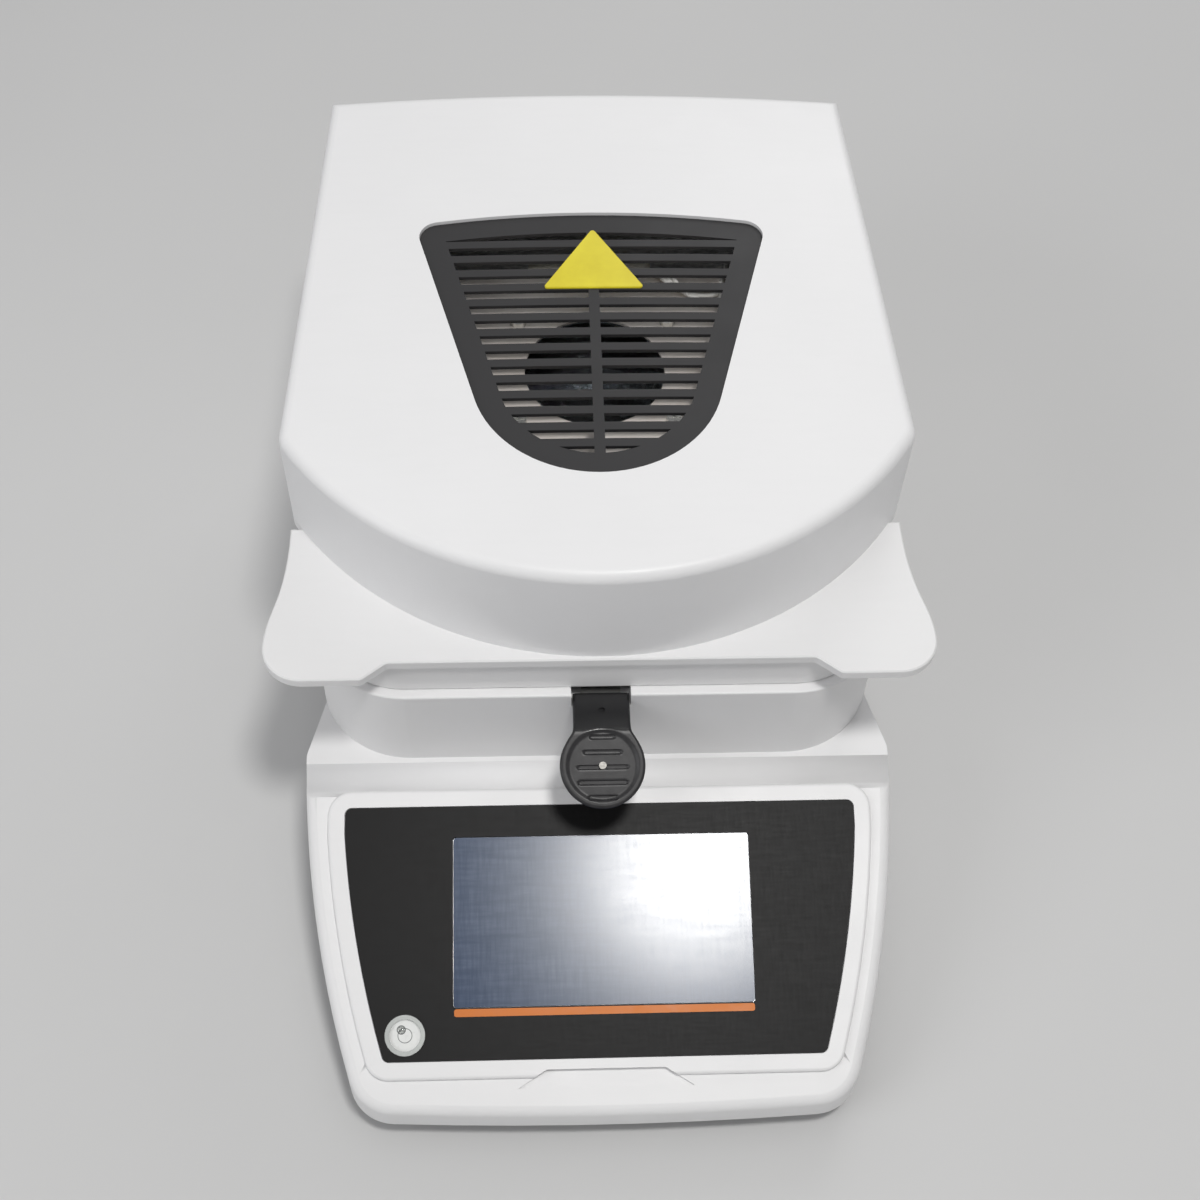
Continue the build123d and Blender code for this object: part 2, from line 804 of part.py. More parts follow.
switch_rocker.part.label = "switch_rocker"
export_step(switch_rocker.part, "parts/switch_rocker.step")

with BuildPart() as switch_frame:
    with BuildSketch(rear_plane):
        with Locations(switch_spot):
            RectangleRounded(*switch_bezel, 1)
    extrude(amount=bezel_gauge)
    with BuildSketch(rear_plane):
        with Locations(switch_spot):
            Rectangle(*switch_body)
    extrude(amount=-switch_depth)
    with BuildSketch(rear_plane.offset(bezel_gauge)):
        with Locations(switch_spot):
            Rectangle(rocker_width + 0.6, 2 * rocker_half + 2.6)
    extrude(amount=2 - switch_depth, mode=Mode.SUBTRACT)
    with BuildSketch(rocker_section):
        Circle(rocker_pin_radius + fit)
    extrude(amount=switch_body[0] / 2 - 0.2, both=True, mode=Mode.SUBTRACT)
switch_frame.part.label = "switch_frame"
export_step(switch_frame.part, "parts/switch_frame.step")

serial_flange = (31.0, 12.6)
serial_reach = 5.0
serial_depth = 12.0
with BuildPart() as serial_port:
    with BuildSketch(rear_plane):
        with Locations(serial_spot):
            RectangleRounded(*serial_flange, 1.5)
    extrude(amount=0.8)
    with BuildSketch(rear_plane):
        with Locations(serial_spot):
            Rectangle(*serial_body)
    extrude(amount=-serial_depth)
    with BuildSketch(rear_plane.offset(0.8)):
        with Locations(serial_spot):
            Trapezoid(17.0, 8.4, 80)
            Trapezoid(16.0, 7.4, 80, mode=Mode.SUBTRACT)
            Trapezoid(15.0, 6.4, 80)
    extrude(amount=serial_reach - 0.8)
    with BuildSketch(rear_plane.offset(0.8)):
        with Locations((serial_spot[0] - 12.5, port_z), (serial_spot[0] + 12.5, port_z)):
            RegularPolygon(2.7, 6)
            Circle(1.4, mode=Mode.SUBTRACT)
    extrude(amount=serial_reach - 0.8)
serial_port.part.label = "serial_port"
export_step(serial_port.part, "parts/serial_port.step")

with BuildPart() as usb_port:
    with BuildSketch(rear_plane):
        with Locations(usb_spot):
            Rectangle(usb_body[0] + 1.6, usb_body[1] + 1.6)
    extrude(amount=0.6)
    with BuildSketch(rear_plane):
        with Locations(usb_spot):
            Rectangle(*usb_body)
    extrude(amount=-usb_depth)
    with BuildSketch(rear_plane.offset(0.6)):
        with Locations(usb_spot):
            Rectangle(usb_body[0] - 1.6, usb_body[1] - 1.6)
        with Locations((usb_spot[0], port_z + 1)):
            Rectangle(usb_body[0] - 3.6, 1.9, mode=Mode.SUBTRACT)
    extrude(amount=-usb_depth + 2, mode=Mode.SUBTRACT)
usb_port.part.label = "usb_port"
export_step(usb_port.part, "parts/usb_port.step")

# Heating chamber in the deck: liner pan and wind shield
liner_top = deck_z + liner_gauge
liner_hole = 9.0
with BuildPart() as chamber_liner:
    add(
        ring_of(
            [
                (liner_hole, liner_floor_z),
                (liner_radius - liner_gauge, liner_floor_z),
                (liner_radius - liner_gauge, liner_top),
                (liner_radius + liner_flange, liner_top),
                (liner_radius + liner_flange, deck_z),
                (liner_radius, deck_z),
                (liner_radius, liner_floor_z - liner_gauge),
                (liner_hole, liner_floor_z - liner_gauge),
            ]
        )
    )
chamber_liner.part.label = "chamber_liner"
export_step(chamber_liner.part, "parts/chamber_liner.step")

shield_top = lifter_z
shield_gauge = 1.0
shield_foot = 5.0
with BuildPart() as wind_shield:
    add(
        ring_of(
            [
                (shield_radius - shield_gauge, liner_floor_z),
                (shield_radius + shield_foot, liner_floor_z),
                (shield_radius + shield_foot, liner_floor_z + shield_gauge),
                (shield_radius, liner_floor_z + shield_gauge),
                (shield_radius, shield_top),
                (shield_radius - shield_gauge, shield_top),
            ]
        )
    )
wind_shield.part.label = "wind_shield"
export_step(wind_shield.part, "parts/wind_shield.step")

# Weighing cell: a bending block on its mount, with the spindle in its free end
cell_length = 100.0
cell_width = 26.0
cell_bottom = 42.0
cell_height = 22.0
cell_end = 16.0
cell_wall = 3.2
cell_top = cell_bottom + cell_height
mount_length = 30.0
bore_depth = 6.0
mount_x = cell_end - cell_length + mount_length / 2
with BuildPart() as load_cell:
    with Locations((cell_end, chamber_y, cell_bottom)):
        Box(cell_length, cell_width, cell_height, align=(Align.MAX, Align.CENTER, Align.MIN))
    with BuildSketch(Plane.XZ.offset(-chamber_y)):
        with Locations((-22, cell_bottom + cell_height / 2)):
            SlotCenterToCenter(24, cell_height - 2 * cell_wall)
    extrude(amount=cell_width, both=True, mode=Mode.SUBTRACT)
    with BuildSketch(Plane.XY.offset(cell_top)):
        with Locations((0, chamber_y)):
            Circle(spindle_radius + fit)
    extrude(amount=-bore_depth, mode=Mode.SUBTRACT)
load_cell.part.label = "load_cell"
export_step(load_cell.part, "parts/load_cell.step")

with BuildPart() as cell_mount:
    with Locations((mount_x, chamber_y, tray_top)):
        Box(mount_length, cell_width, cell_bottom - tray_top, align=(Align.CENTER, Align.CENTER, Align.MIN))
        Box(mount_length + 16, cell_width + 16, 5, align=(Align.CENTER, Align.CENTER, Align.MIN))
    chamfer(cell_mount.edges().filter_by(Axis.Z), length=2)
cell_mount.part.label = "cell_mount"
export_step(cell_mount.part, "parts/cell_mount.step")

support_gauge = 1.6
support_top = pan_floor_z
support_radius = 40.0
support_rim = 4.0
hub_radius = 7.0
with BuildPart() as spindle:
    with BuildSketch(Plane.XY.offset(cell_top - bore_depth + 0.6)):
        with Locations((0, chamber_y)):
            Circle(spindle_radius)
    extrude(amount=support_top - support_gauge - cell_top + bore_depth - 0.6)
    with BuildSketch(Plane.XY.offset(support_top - support_gauge)):
        with Locations((0, chamber_y)):
            Circle(hub_radius)
    extrude(amount=-3)
spindle.part.label = "spindle"
export_step(spindle.part, "parts/spindle.step")

with BuildPart() as pan_support:
    with BuildSketch(Plane.XY.offset(support_top)):
        with Locations((0, chamber_y)):
            Circle(support_radius)
            Circle(support_radius - support_rim, mode=Mode.SUBTRACT)
            Circle(hub_radius)
            with PolarLocations(support_radius / 2, 3, 90):
                Rectangle(support_radius - 3, 6)
    extrude(amount=-support_gauge)
pan_support.part.label = "pan_support"
export_step(pan_support.part, "parts/pan_support.step")

with BuildPart() as sample_pan:
    add(
        ring_of(
            [
                (0, pan_floor_z),
                (pan_radius, pan_floor_z),
                (pan_radius + 2, pan_rim_z),
                (pan_rim_radius, pan_rim_z),
                (pan_rim_radius, pan_rim_z + pan_gauge),
                (pan_radius + 2 - pan_gauge, pan_rim_z + pan_gauge),
                (pan_radius - pan_gauge, pan_floor_z + pan_gauge),
                (0, pan_floor_z + pan_gauge),
            ]
        )
    )
sample_pan.part.label = "sample_pan"
export_step(sample_pan.part, "parts/sample_pan.step")

# Pan lifter: a steel ring with a tongue, bent down at the front inside its plastic grip
grip_plane = Plane(
    origin=(0, grip_bend, grip_top),
    x_dir=(1, 0, 0),
    z_dir=(0, -sin(radians(grip_tilt)), cos(radians(grip_tilt))),
)
tongue_sink = grip_top - lifter_z - lifter_gauge
rivet_points = [(0, -grip_disc_reach)]
pin_points = [(0, -62.5)]
rivet_radius = 1.3
with BuildPart() as grip_rivets:
    with BuildSketch(grip_plane.offset(0.3)):
        with Locations(*rivet_points):
            Circle(rivet_radius)
    extrude(amount=-grip_thick - 0.3)
    with BuildSketch(Plane.XY.offset(grip_top)):
        with Locations(*pin_points):
            Circle(rivet_radius)
    extrude(amount=-grip_thick)
grip_rivets.part.label = "grip_rivets"
export_step(grip_rivets.part, "parts/grip_rivets.step")

with BuildPart() as lifter_plate:
    with BuildSketch(Plane.XY.offset(lifter_z)):
        with Locations((0, chamber_y)):
            Circle(lifter_outer)
        with Locations((0, grip_bend)):
            Rectangle(tongue_width, chamber_y - grip_bend, align=(Align.CENTER, Align.MIN))
        with Locations((0, chamber_y)):
            Circle(lifter_inner, mode=Mode.SUBTRACT)
    extrude(amount=lifter_gauge)
    with BuildSketch(grip_plane.offset(-tongue_sink)):
        with Locations((0, 0)):
            Rectangle(tongue_width, grip_disc_reach + 7, align=(Align.CENTER, Align.MAX))
    extrude(amount=-lifter_gauge)
    add(grip_rivets.part, mode=Mode.SUBTRACT)
lifter_plate.part.label = "lifter_plate"
export_step(lifter_plate.part, "parts/lifter_plate.step")

groove_lengths = (9.0, 13.5, 18.0, 17.6, 10.7)
groove_pitch = 5.3
with BuildPart() as lifter_grip:
    with BuildSketch(Plane.XY.offset(grip_top)):
        with Locations((0, grip_bend)):
            Rectangle(2 * grip_half, grip_back - grip_bend, align=(Align.CENTER, Align.MIN))
    extrude(amount=-grip_thick)
    with BuildSketch(grip_plane):
        with Locations((0, -grip_disc_reach)):
            Circle(grip_disc)
        Rectangle(2 * grip_half, grip_disc_reach, align=(Align.CENTER, Align.MAX))
    extrude(amount=-grip_thick)
    for row, length in enumerate(groove_lengths):
        with BuildSketch(grip_plane):
            with Locations((0, -2.0 - row * groove_pitch)):
                SlotOverall(length, 1.7)
        extrude(amount=-0.5, mode=Mode.SUBTRACT)
    add(lifter_plate.part, mode=Mode.SUBTRACT)
    add(grip_rivets.part, mode=Mode.SUBTRACT)
lifter_grip.part.label = "lifter_grip"
export_step(lifter_grip.part, "parts/lifter_grip.step")

# Boards on the tray
board_gauge = 1.6
standoff_height = 6.0
board_z = tray_top + standoff_height
control_size = (130.0, 56.0)
control_spot = (0.0, -100.0)
power_size = (76.0, 62.0)
power_spot = (-30.0, 103.0)


def board_holes(size, spot):
    """Corner holes of a board, 4 mm in from its edges."""
    return [
        (spot[0] + sx * (size[0] / 2 - 4), spot[1] + sy * (size[1] / 2 - 4))
        for sx in (1, -1)
        for sy in (1, -1)
    ]


standoff_points = board_holes(control_size, control_spot) + board_holes(power_size, power_spot)
board_screws_part = screw_set(standoff_points, Plane.XY.offset(board_z + board_gauge), 2.6, 1.6, 1.5, 5)
with BuildPart() as board_standoffs:
    with BuildSketch(Plane.XY.offset(tray_top)):
        with Locations(*standoff_points):
            RegularPolygon(3, 6)
    extrude(amount=standoff_height)
    add(board_screws_part, mode=Mode.SUBTRACT)
board_standoffs.part.label = "board_standoffs"
export_step(board_standoffs.part, "parts/board_standoffs.step")

with BuildPart() as board_screws:
    add(board_screws_part)
board_screws.part.label = "board_screws"
export_step(board_screws.part, "parts/board_screws.step")

board_top = board_z + board_gauge
with BuildPart() as control_board:
    with BuildSketch(Plane.XY.offset(board_z)):
        with Locations(control_spot):
            Rectangle(*control_size)
    extrude(amount=board_gauge)
    with BuildSketch(Plane.XY.offset(board_top)):
        with Locations((control_spot[0] - 20, control_spot[1] + 4)):
            Rectangle(22, 22)
        with Locations((control_spot[0] + 18, control_spot[1] + 6)):
            Rectangle(14, 10)
        with Locations((control_spot[0] + 40, control_spot[1] - 8)):
            Rectangle(12, 16)
    extrude(amount=1.8)
    with BuildSketch(Plane.XY.offset(board_top)):
        with Locations((control_spot[0], control_spot[1] + 22)):
            with GridLocations(26, 1, 4, 1):
                Rectangle(16, 6)
    extrude(amount=7)
    add(board_screws_part, mode=Mode.SUBTRACT)
control_board.part.label = "control_board"
export_step(control_board.part, "parts/control_board.step")

with BuildPart() as power_board:
    with BuildSketch(Plane.XY.offset(board_z)):
        with Locations(power_spot):
            Rectangle(*power_size)
    extrude(amount=board_gauge)
    with Locations((power_spot[0] - 14, power_spot[1] + 4, board_top)):
        Box(28, 26, 22, align=(Align.CENTER, Align.CENTER, Align.MIN))
    with Locations((power_spot[0] + 14, power_spot[1] + 10, board_top)):
        Cylinder(8, 24, align=(Align.CENTER, Align.CENTER, Align.MIN))
    with Locations((power_spot[0] + 14, power_spot[1] - 12, board_top)):
        Cylinder(6, 18, align=(Align.CENTER, Align.CENTER, Align.MIN))
    with Locations((power_spot[0] + 28, power_spot[1] + 4, board_top)):
        Box(4, 36, 24, align=(Align.CENTER, Align.CENTER, Align.MIN))
    add(board_screws_part, mode=Mode.SUBTRACT)
power_board.part.label = "power_board"
export_step(power_board.part, "parts/power_board.step")

# Housing of the base
nose_plan_inside = nose_form(wall, tray_z, wall, cove_z - wall)
with BuildPart() as nose:
    add(nose_form(0, tray_z, 0, shoulder_z))
    skin = nose.faces().filter_by(panel_plane).sort_by(Axis.Z)[-1]
    fillet(skin.edges().sort_by(Axis.Y)[:-1], radius=4)

frame_sketch = overlay_outline(frame_border)
with BuildPart() as panel_frame:
    with BuildSketch(panel_plane):
        add(frame_sketch)
    extrude(amount=skin_under)
    fillet(panel_frame.faces().filter_by(panel_plane).sort_by(Axis.Z)[-1].edges(), radius=1.2)

block_plan = block_outline(0)
block_inner = block_outline(wall)
rim_inner = block_outline(rim_width)
overlay_pocket = overlay_outline(0.2)
finger_points = [(-31, -58.3), (31, -58.3), (21, -52), (-21, -52)]
slot_clear = 0.6
grip_slot_z = grip_top - grip_thick - rest_gap
with BuildPart() as housing:
    add(nose.part)
    with BuildSketch(Plane.YZ):
        with BuildLine():
            ThreePointArc((cove_front, skin_z(cove_front)), (-66.5, cove_z), (cove_back, shoulder_z))
            Polyline(
                (cove_back, shoulder_z),
                (cove_back, rim_z),
                (cove_front, rim_z),
                (cove_front, skin_z(cove_front)),
            )
        make_face()
    extrude(amount=2 * hip_half, both=True, mode=Mode.SUBTRACT)
    add(panel_frame.part)
    with BuildSketch(Plane.XY.offset(tray_z)):
        add(block_plan)
    extrude(amount=rim_z - tray_z)
    fillet(housing.faces().sort_by(Axis.Z)[-1].edges(), radius=0.8)
    # Inside of the nose and of the block, and the recessed deck
    add(nose_plan_inside, mode=Mode.SUBTRACT)
    with BuildSketch(Plane.XY.offset(tray_z)):
        add(block_inner)
    extrude(amount=deck_z - wall - tray_z, mode=Mode.SUBTRACT)
    with BuildSketch(Plane.XY.offset(deck_z)):
        add(rim_inner)
    extrude(amount=rim_z - deck_z, mode=Mode.SUBTRACT)
    with BuildSketch(Plane.XY.offset(deck_z)):
        with Locations((0, chamber_y)):
            Circle(liner_radius)
    extrude(amount=-wall, mode=Mode.SUBTRACT)
    # Recess for the overlay, window for the display, socket for the level
    with BuildSketch(panel_plane):
        add(overlay_pocket)
    extrude(amount=-overlay_recess, mode=Mode.SUBTRACT)
    with BuildSketch(panel_plane):
        Rectangle(module_width + 0.6, module_height + 0.6)
    extrude(amount=-panel_raise - 2 * wall, mode=Mode.SUBTRACT)
    with BuildSketch(panel_plane.offset(skin_under)):
        with Locations(level_spot):
            Circle(level_radius + 2)
    extrude(amount=-level_depth - overlay_sink - 1.2 - skin_under)
    with BuildSketch(panel_plane):
        with Locations(level_spot):
            Circle(level_radius)
    extrude(amount=-level_depth - overlay_sink, mode=Mode.SUBTRACT)
    with BuildSketch(panel_plane.offset(skin_under)):
        with Locations(*bracket_points):
            Circle(bracket_boss_radius)
    extrude(amount=bracket_top - skin_under)
    # Finger notch in the lower bezel
    with BuildSketch(panel_plane.offset(-panel_raise)):
        with BuildLine():
            Polyline(*finger_points, close=True)
        make_face()
    extrude(amount=-1.2, mode=Mode.SUBTRACT)
    # Slot in the rim for the grip
    with Locations((0, block_front - 2, grip_slot_z)):
        Box(
            2 * (grip_half + slot_clear),
            rim_width + 6,
            rim_z,
            align=(Align.CENTER, Align.MIN, Align.MIN),
            mode=Mode.SUBTRACT,
        )
    # Seats of the hinge leaves, with room for the knuckles
    for side in (1, -1):
        with Locations((side * hinge_x, base_rear - wall, deck_z - wall)):
            Box(
                2 * leaf_half + 4,
                hinge_leaf_depth,
                leaf_seat - deck_z + wall,
                align=(Align.CENTER, Align.MAX, Align.MIN),
            )
        with Locations((side * hinge_x, base_rear + 1, leaf_seat)):
            Box(
                2 * leaf_half + 1,
                hinge_leaf_depth + 1,
                rim_z,
                align=(Align.CENTER, Align.MAX, Align.MIN),
                mode=Mode.SUBTRACT,
            )
        with Locations((side * hinge_x, base_rear + 1, leaf_seat - 0.6)):
            Box(
                2 * middle_knuckle_half + 2 * knuckle_gap,
                knuckle_radius + 1.6,
                rim_z,
                align=(Align.CENTER, Align.MAX, Align.MIN),
                mode=Mode.SUBTRACT,
            )
    # Posts for the tray screws
    for x, y in front_posts:
        with BuildSketch(Plane.XY.offset(tray_top)):
            with Locations((x, y)):
                Circle(post_radius)
        extrude(amount=skin_z(y) - 2 - tray_top)
    with BuildSketch(Plane.XY.offset(tray_top)):
        with Locations(*rear_posts):
            Circle(post_radius)
    extrude(amount=deck_z - 1 - tray_top)
    # Openings for the sockets at the back
    with BuildSketch(rear_plane):
        with Locations(inlet_spot):
            Rectangle(*inlet_body)
        with Locations(switch_spot):
            Rectangle(*switch_body)
        with Locations(serial_spot):
            Rectangle(*serial_body)
        with Locations(usb_spot):
            Rectangle(*usb_body)
    extrude(amount=-wall, mode=Mode.SUBTRACT)
    for fitted in (tray_screws_part, bracket_screws_part, base_hinge_screws, inlet_screws_part, rim_strips.part):
        add(fitted, mode=Mode.SUBTRACT)
housing.part.label = "housing"
export_step(housing.part, "parts/housing.step")

# Tray that closes the base from below
tray_gap = 0.2
nose_tray = nose_outline(wall + tray_gap)
block_tray = block_outline(wall + tray_gap)
with BuildPart() as base_tray:
    with BuildSketch(Plane.XY.offset(tray_z)):
        add(nose_tray)
        add(block_tray)
        with Locations(*corners.values()):
            Circle(stud_radius + 1, mode=Mode.SUBTRACT)
        with Locations((50, 60)):
            with GridLocations(1, 8, 1, 8):
                SlotOverall(34, 3, mode=Mode.SUBTRACT)
    extrude(amount=tray_gauge)
    with BuildSketch(Plane.XY.offset(tray_top)):
        with Locations(*corners.values()):
            Circle(foot_boss_radius)
            Circle(insert_radius, mode=Mode.SUBTRACT)
    extrude(amount=foot_boss_height)
    with BuildSketch(tray_seat):
        with Locations(*tray_screw_points):
            Circle(tray_head_radius + 0.1)
    extrude(amount=tray_head_height, mode=Mode.SUBTRACT)
    add(tray_screws_part, mode=Mode.SUBTRACT)
base_tray.part.label = "base_tray"
export_step(base_tray.part, "parts/base_tray.step")

# Hood cover
cover_posts = [(-94, 22), (94, 22), (-88, 160), (88, 160), (-46, -36), (46, -36)]
cover_post_radius = 3.5
cover_head_radius = 2.8
cover_head_height = 1.4
cover_screw_seat = Plane(origin=(0, 0, brim_under + cover_head_height), x_dir=(1, 0, 0), z_dir=(0, 0, -1))
cover_screw_points = [(x, -y) for x, y in cover_posts]
cover_screws_part = screw_set(cover_screw_points, cover_screw_seat, cover_head_radius, cover_head_height, 1.5, 10)
grille_opening = grille_outline(grille_gap)
cover_inside = hood_form(hood_wall, brim_z, hood_wall, hood_edge_round - hood_wall)
with BuildPart() as hood_cover:
    add(hood_form(0, brim_z, 0, hood_edge_round))
    add(cover_inside, mode=Mode.SUBTRACT)
    with BuildSketch(Plane.XY.offset(brim_z)):
        add(grille_opening)
    extrude(amount=hood_top, mode=Mode.SUBTRACT)
    for x, y in cover_posts:
        with BuildSketch(Plane.XY.offset(brim_z)):
            with Locations((x, y)):
                Circle(cover_post_radius)
        extrude(amount=crown_z(x) - hood_wall / 2 - brim_z)
    add(cover_screws_part, mode=Mode.SUBTRACT)
hood_cover.part.label = "hood_cover"
export_step(hood_cover.part, "parts/hood_cover.step")

with BuildPart() as cover_screws:
    add(cover_screws_part)
cover_screws.part.label = "cover_screws"
export_step(cover_screws.part, "parts/cover_screws.step")

# Hood frame: brim with wings, glass ledge and the skirt that closes on the rim
brim_plan = brim_outline()
skirt_outer = block_outline(skirt_inset)
skirt_inner = block_outline(skirt_inset + skirt_wall)
ledge_gauge = brim_gauge - glass_gauge
with BuildPart() as hood_frame:
    with BuildSketch(Plane.XY.offset(brim_under)):
        add(brim_plan)
    extrude(amount=brim_gauge)
    chamfer(hood_frame.faces().sort_by(Axis.Z)[-1].edges(), length=0.5)
    with BuildSketch(Plane.XY.offset(skirt_z)):
        add(skirt_outer)
        add(skirt_inner, mode=Mode.SUBTRACT)
    extrude(amount=brim_under - skirt_z)
    with BuildSketch(Plane.XY.offset(brim_under)):
        with Locations((0, chamber_y)):
            Circle(glass_radius - glass_ledge)
    extrude(amount=brim_gauge, mode=Mode.SUBTRACT)
    with BuildSketch(Plane.XY.offset(brim_under + ledge_gauge)):
        with Locations((0, chamber_y)):
            Circle(glass_radius + 0.2)
    extrude(amount=glass_gauge, mode=Mode.SUBTRACT)
    with BuildSketch(cover_screw_seat):
        with Locations(*cover_screw_points):
            Circle(cover_head_radius + 0.1)
    extrude(amount=cover_head_height, mode=Mode.SUBTRACT)
    for fitted in (cover_screws_part, hood_hinge_screws):
        add(fitted, mode=Mode.SUBTRACT)
hood_frame.part.label = "hood_frame"
export_step(hood_frame.part, "parts/hood_frame.step")

# Vent grille, let into the roof from below
grille_plan = grille_outline(0)
flange_plan = grille_outline(grille_gap + grille_flange)
hole_plan = grille_outline(-grille_border)
grille_depth = 2 * hood_wall
with BuildPart() as vent_grille:
    add(roof_band(grille_sink, grille_depth, grille_plan))
    add(roof_band(hood_wall, grille_depth, flange_plan))
    with BuildSketch(Plane.XY.offset(brim_z)):
        add(hole_plan)
        with Locations((0, slot_middle_y)):
            with GridLocations(1, slot_pitch, 1, slot_count + 1):
                Rectangle(4 * grille_radius, slot_pitch - slot_width, mode=Mode.SUBTRACT)
            Rectangle(rib_width, 4 * grille_radius, mode=Mode.SUBTRACT)
    extrude(amount=hood_top, mode=Mode.SUBTRACT)
vent_grille.part.label = "vent_grille"
export_step(vent_grille.part, "parts/vent_grille.step")

# Glass under the lamp, its retainer, the reflector and the lamp
with BuildPart() as chamber_glass:
    with BuildSketch(Plane.XY.offset(brim_z)):
        with Locations((0, chamber_y)):
            Circle(glass_radius)
    extrude(amount=-glass_gauge)
chamber_glass.part.label = "chamber_glass"
export_step(chamber_glass.part, "parts/chamber_glass.step")

retainer_gauge = 1.2
retainer_top = brim_z + retainer_gauge
retainer_outer = glass_radius + 4
with BuildPart() as glass_retainer:
    with BuildSketch(Plane.XY.offset(brim_z)):
        with Locations((0, chamber_y)):
            Circle(retainer_outer)
            Circle(glass_radius - 5, mode=Mode.SUBTRACT)
    extrude(amount=retainer_gauge)
glass_retainer.part.label = "glass_retainer"
export_step(glass_retainer.part, "parts/glass_retainer.step")

plate_gauge = 1.0
plate_width = 150.0
plate_length = 126.0
plate_back = 98.0
plate_corner = 24.0
plate_screw_x = 27.7
plate_screw_y = 24.0
standoff_spots = [(-69, -2), (69, -2), (-69, 91), (69, 91)]
plate_screw_points = standoff_spots + [
    (sx * plate_screw_x, chamber_y + sy * plate_screw_y) for sx in (1, -1) for sy in (1, -1)
]
plate_screws_part = screw_set(plate_screw_points, Plane.XY.offset(heat_plate_z + plate_gauge), 3.0, 2.0, 1.5, 1.8)
reflector_gauge = 0.8
reflector_collar = 42.0
reflector_foot = 70.0
lamp_radius = 54.0
lamp_tube = 4.5
lamp_z = 131.0
lamp_sweep = 324
holder_width = 14.0
holder_height = 15.0
holder_length = 26.0
lamp_start = 90 + (360 - lamp_sweep) / 2
holder_x = lamp_radius * sin(radians(lamp_start - 90))
holder_front = chamber_y + lamp_radius * cos(radians(lamp_start - 90)) - holder_width / 2
window_gap = 1.0
reflector_window = 2 * holder_x + holder_width + 2 * window_gap
with BuildPart() as reflector:
    add(
        ring_of(
            [
                (vent_hole_radius, heat_plate_z),
                (reflector_collar, heat_plate_z),
                (reflector_foot + 1, retainer_top + reflector_gauge),
                (retainer_outer, retainer_top + reflector_gauge),
                (retainer_outer, retainer_top),
                (reflector_foot, retainer_top),
                (reflector_collar - 0.5, heat_plate_z - reflector_gauge),
                (vent_hole_radius, heat_plate_z - reflector_gauge),
            ]
        )
    )
    with Locations((0, holder_front - window_gap, retainer_top + reflector_gauge)):
        Box(
            reflector_window,
            holder_length + 2 * window_gap,
            holder_height + window_gap,
            align=(Align.CENTER, Align.MIN, Align.MIN),
            mode=Mode.SUBTRACT,
        )
    add(plate_screws_part, mode=Mode.SUBTRACT)
reflector.part.label = "reflector"
export_step(reflector.part, "parts/reflector.step")

lamp_end_section = Plane(
    origin=(0, chamber_y, lamp_z),
    x_dir=(cos(radians(lamp_start)), sin(radians(lamp_start)), 0),
    z_dir=(sin(radians(lamp_start)), -cos(radians(lamp_start)), 0),
)
with BuildPart() as halogen_lamp:
    with BuildSketch(lamp_end_section):
        with Locations((lamp_radius, 0)):
            Circle(lamp_tube)
    revolve(axis=chamber_axis, revolution_arc=lamp_sweep)
halogen_lamp.part.label = "halogen_lamp"
export_step(halogen_lamp.part, "parts/halogen_lamp.step")

with BuildPart() as lamp_holders:
    for side in (1, -1):
        with Locations((side * holder_x, holder_front, retainer_top + reflector_gauge)):
            Box(holder_width, holder_length, holder_height, align=(Align.CENTER, Align.MIN, Align.MIN))
    chamfer(lamp_holders.edges().filter_by(Axis.Z), length=1)
    add(halogen_lamp.part, mode=Mode.SUBTRACT)
lamp_holders.part.label = "lamp_holders"
export_step(lamp_holders.part, "parts/lamp_holders.step")

# Heat plate with the round vent hole, on four standoffs
with BuildPart() as heat_plate:
    with BuildSketch(Plane.XY.offset(heat_plate_z)):
        with Locations((0, plate_back)):
            blank = Rectangle(plate_width, plate_length, align=(Align.CENTER, Align.MAX))
        chamfer(blank.vertices().sort_by(Axis.Y)[:2], length=plate_corner)
        with Locations((0, chamber_y)):
            Circle(vent_hole_radius, mode=Mode.SUBTRACT)
    extrude(amount=plate_gauge)
    add(plate_screws_part, mode=Mode.SUBTRACT)
heat_plate.part.label = "heat_plate"
export_step(heat_plate.part, "parts/heat_plate.step")

with BuildPart() as plate_standoffs:
    with BuildSketch(Plane.XY.offset(brim_z)):
        with Locations(*standoff_spots):
            RegularPolygon(3.5, 6)
    extrude(amount=heat_plate_z - brim_z)
    add(plate_screws_part, mode=Mode.SUBTRACT)
plate_standoffs.part.label = "plate_standoffs"
export_step(plate_standoffs.part, "parts/plate_standoffs.step")

with BuildPart() as plate_screws:
    add(plate_screws_part)
plate_screws.part.label = "plate_screws"
export_step(plate_screws.part, "parts/plate_screws.step")

# Temperature sensor beside the glass, under the brim
sensor_x = glass_radius - glass_ledge + 8
with BuildPart() as temperature_sensor:
    with Locations((sensor_x, chamber_y, brim_under)):
        Box(10, 12, 4, align=(Align.CENTER, Align.CENTER, Align.MAX))
    with Locations((sensor_x - 5, chamber_y, brim_under - 2)):
        Cylinder(1.2, 24, rotation=(0, 90, 0), align=(Align.CENTER, Align.CENTER, Align.MAX))
temperature_sensor.part.label = "temperature_sensor"
export_step(temperature_sensor.part, "parts/temperature_sensor.step")
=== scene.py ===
"""Looks of the moisture analyzer: materials for the solids, small trim pieces, light and camera.

Everything is in metres, in the frame of the solids: +X to the viewer's right, +Y to the back
and +Z up, with the origin on the table in the middle of the instrument.
"""

import bmesh
import bpy
import math
from mathutils import Matrix, Vector


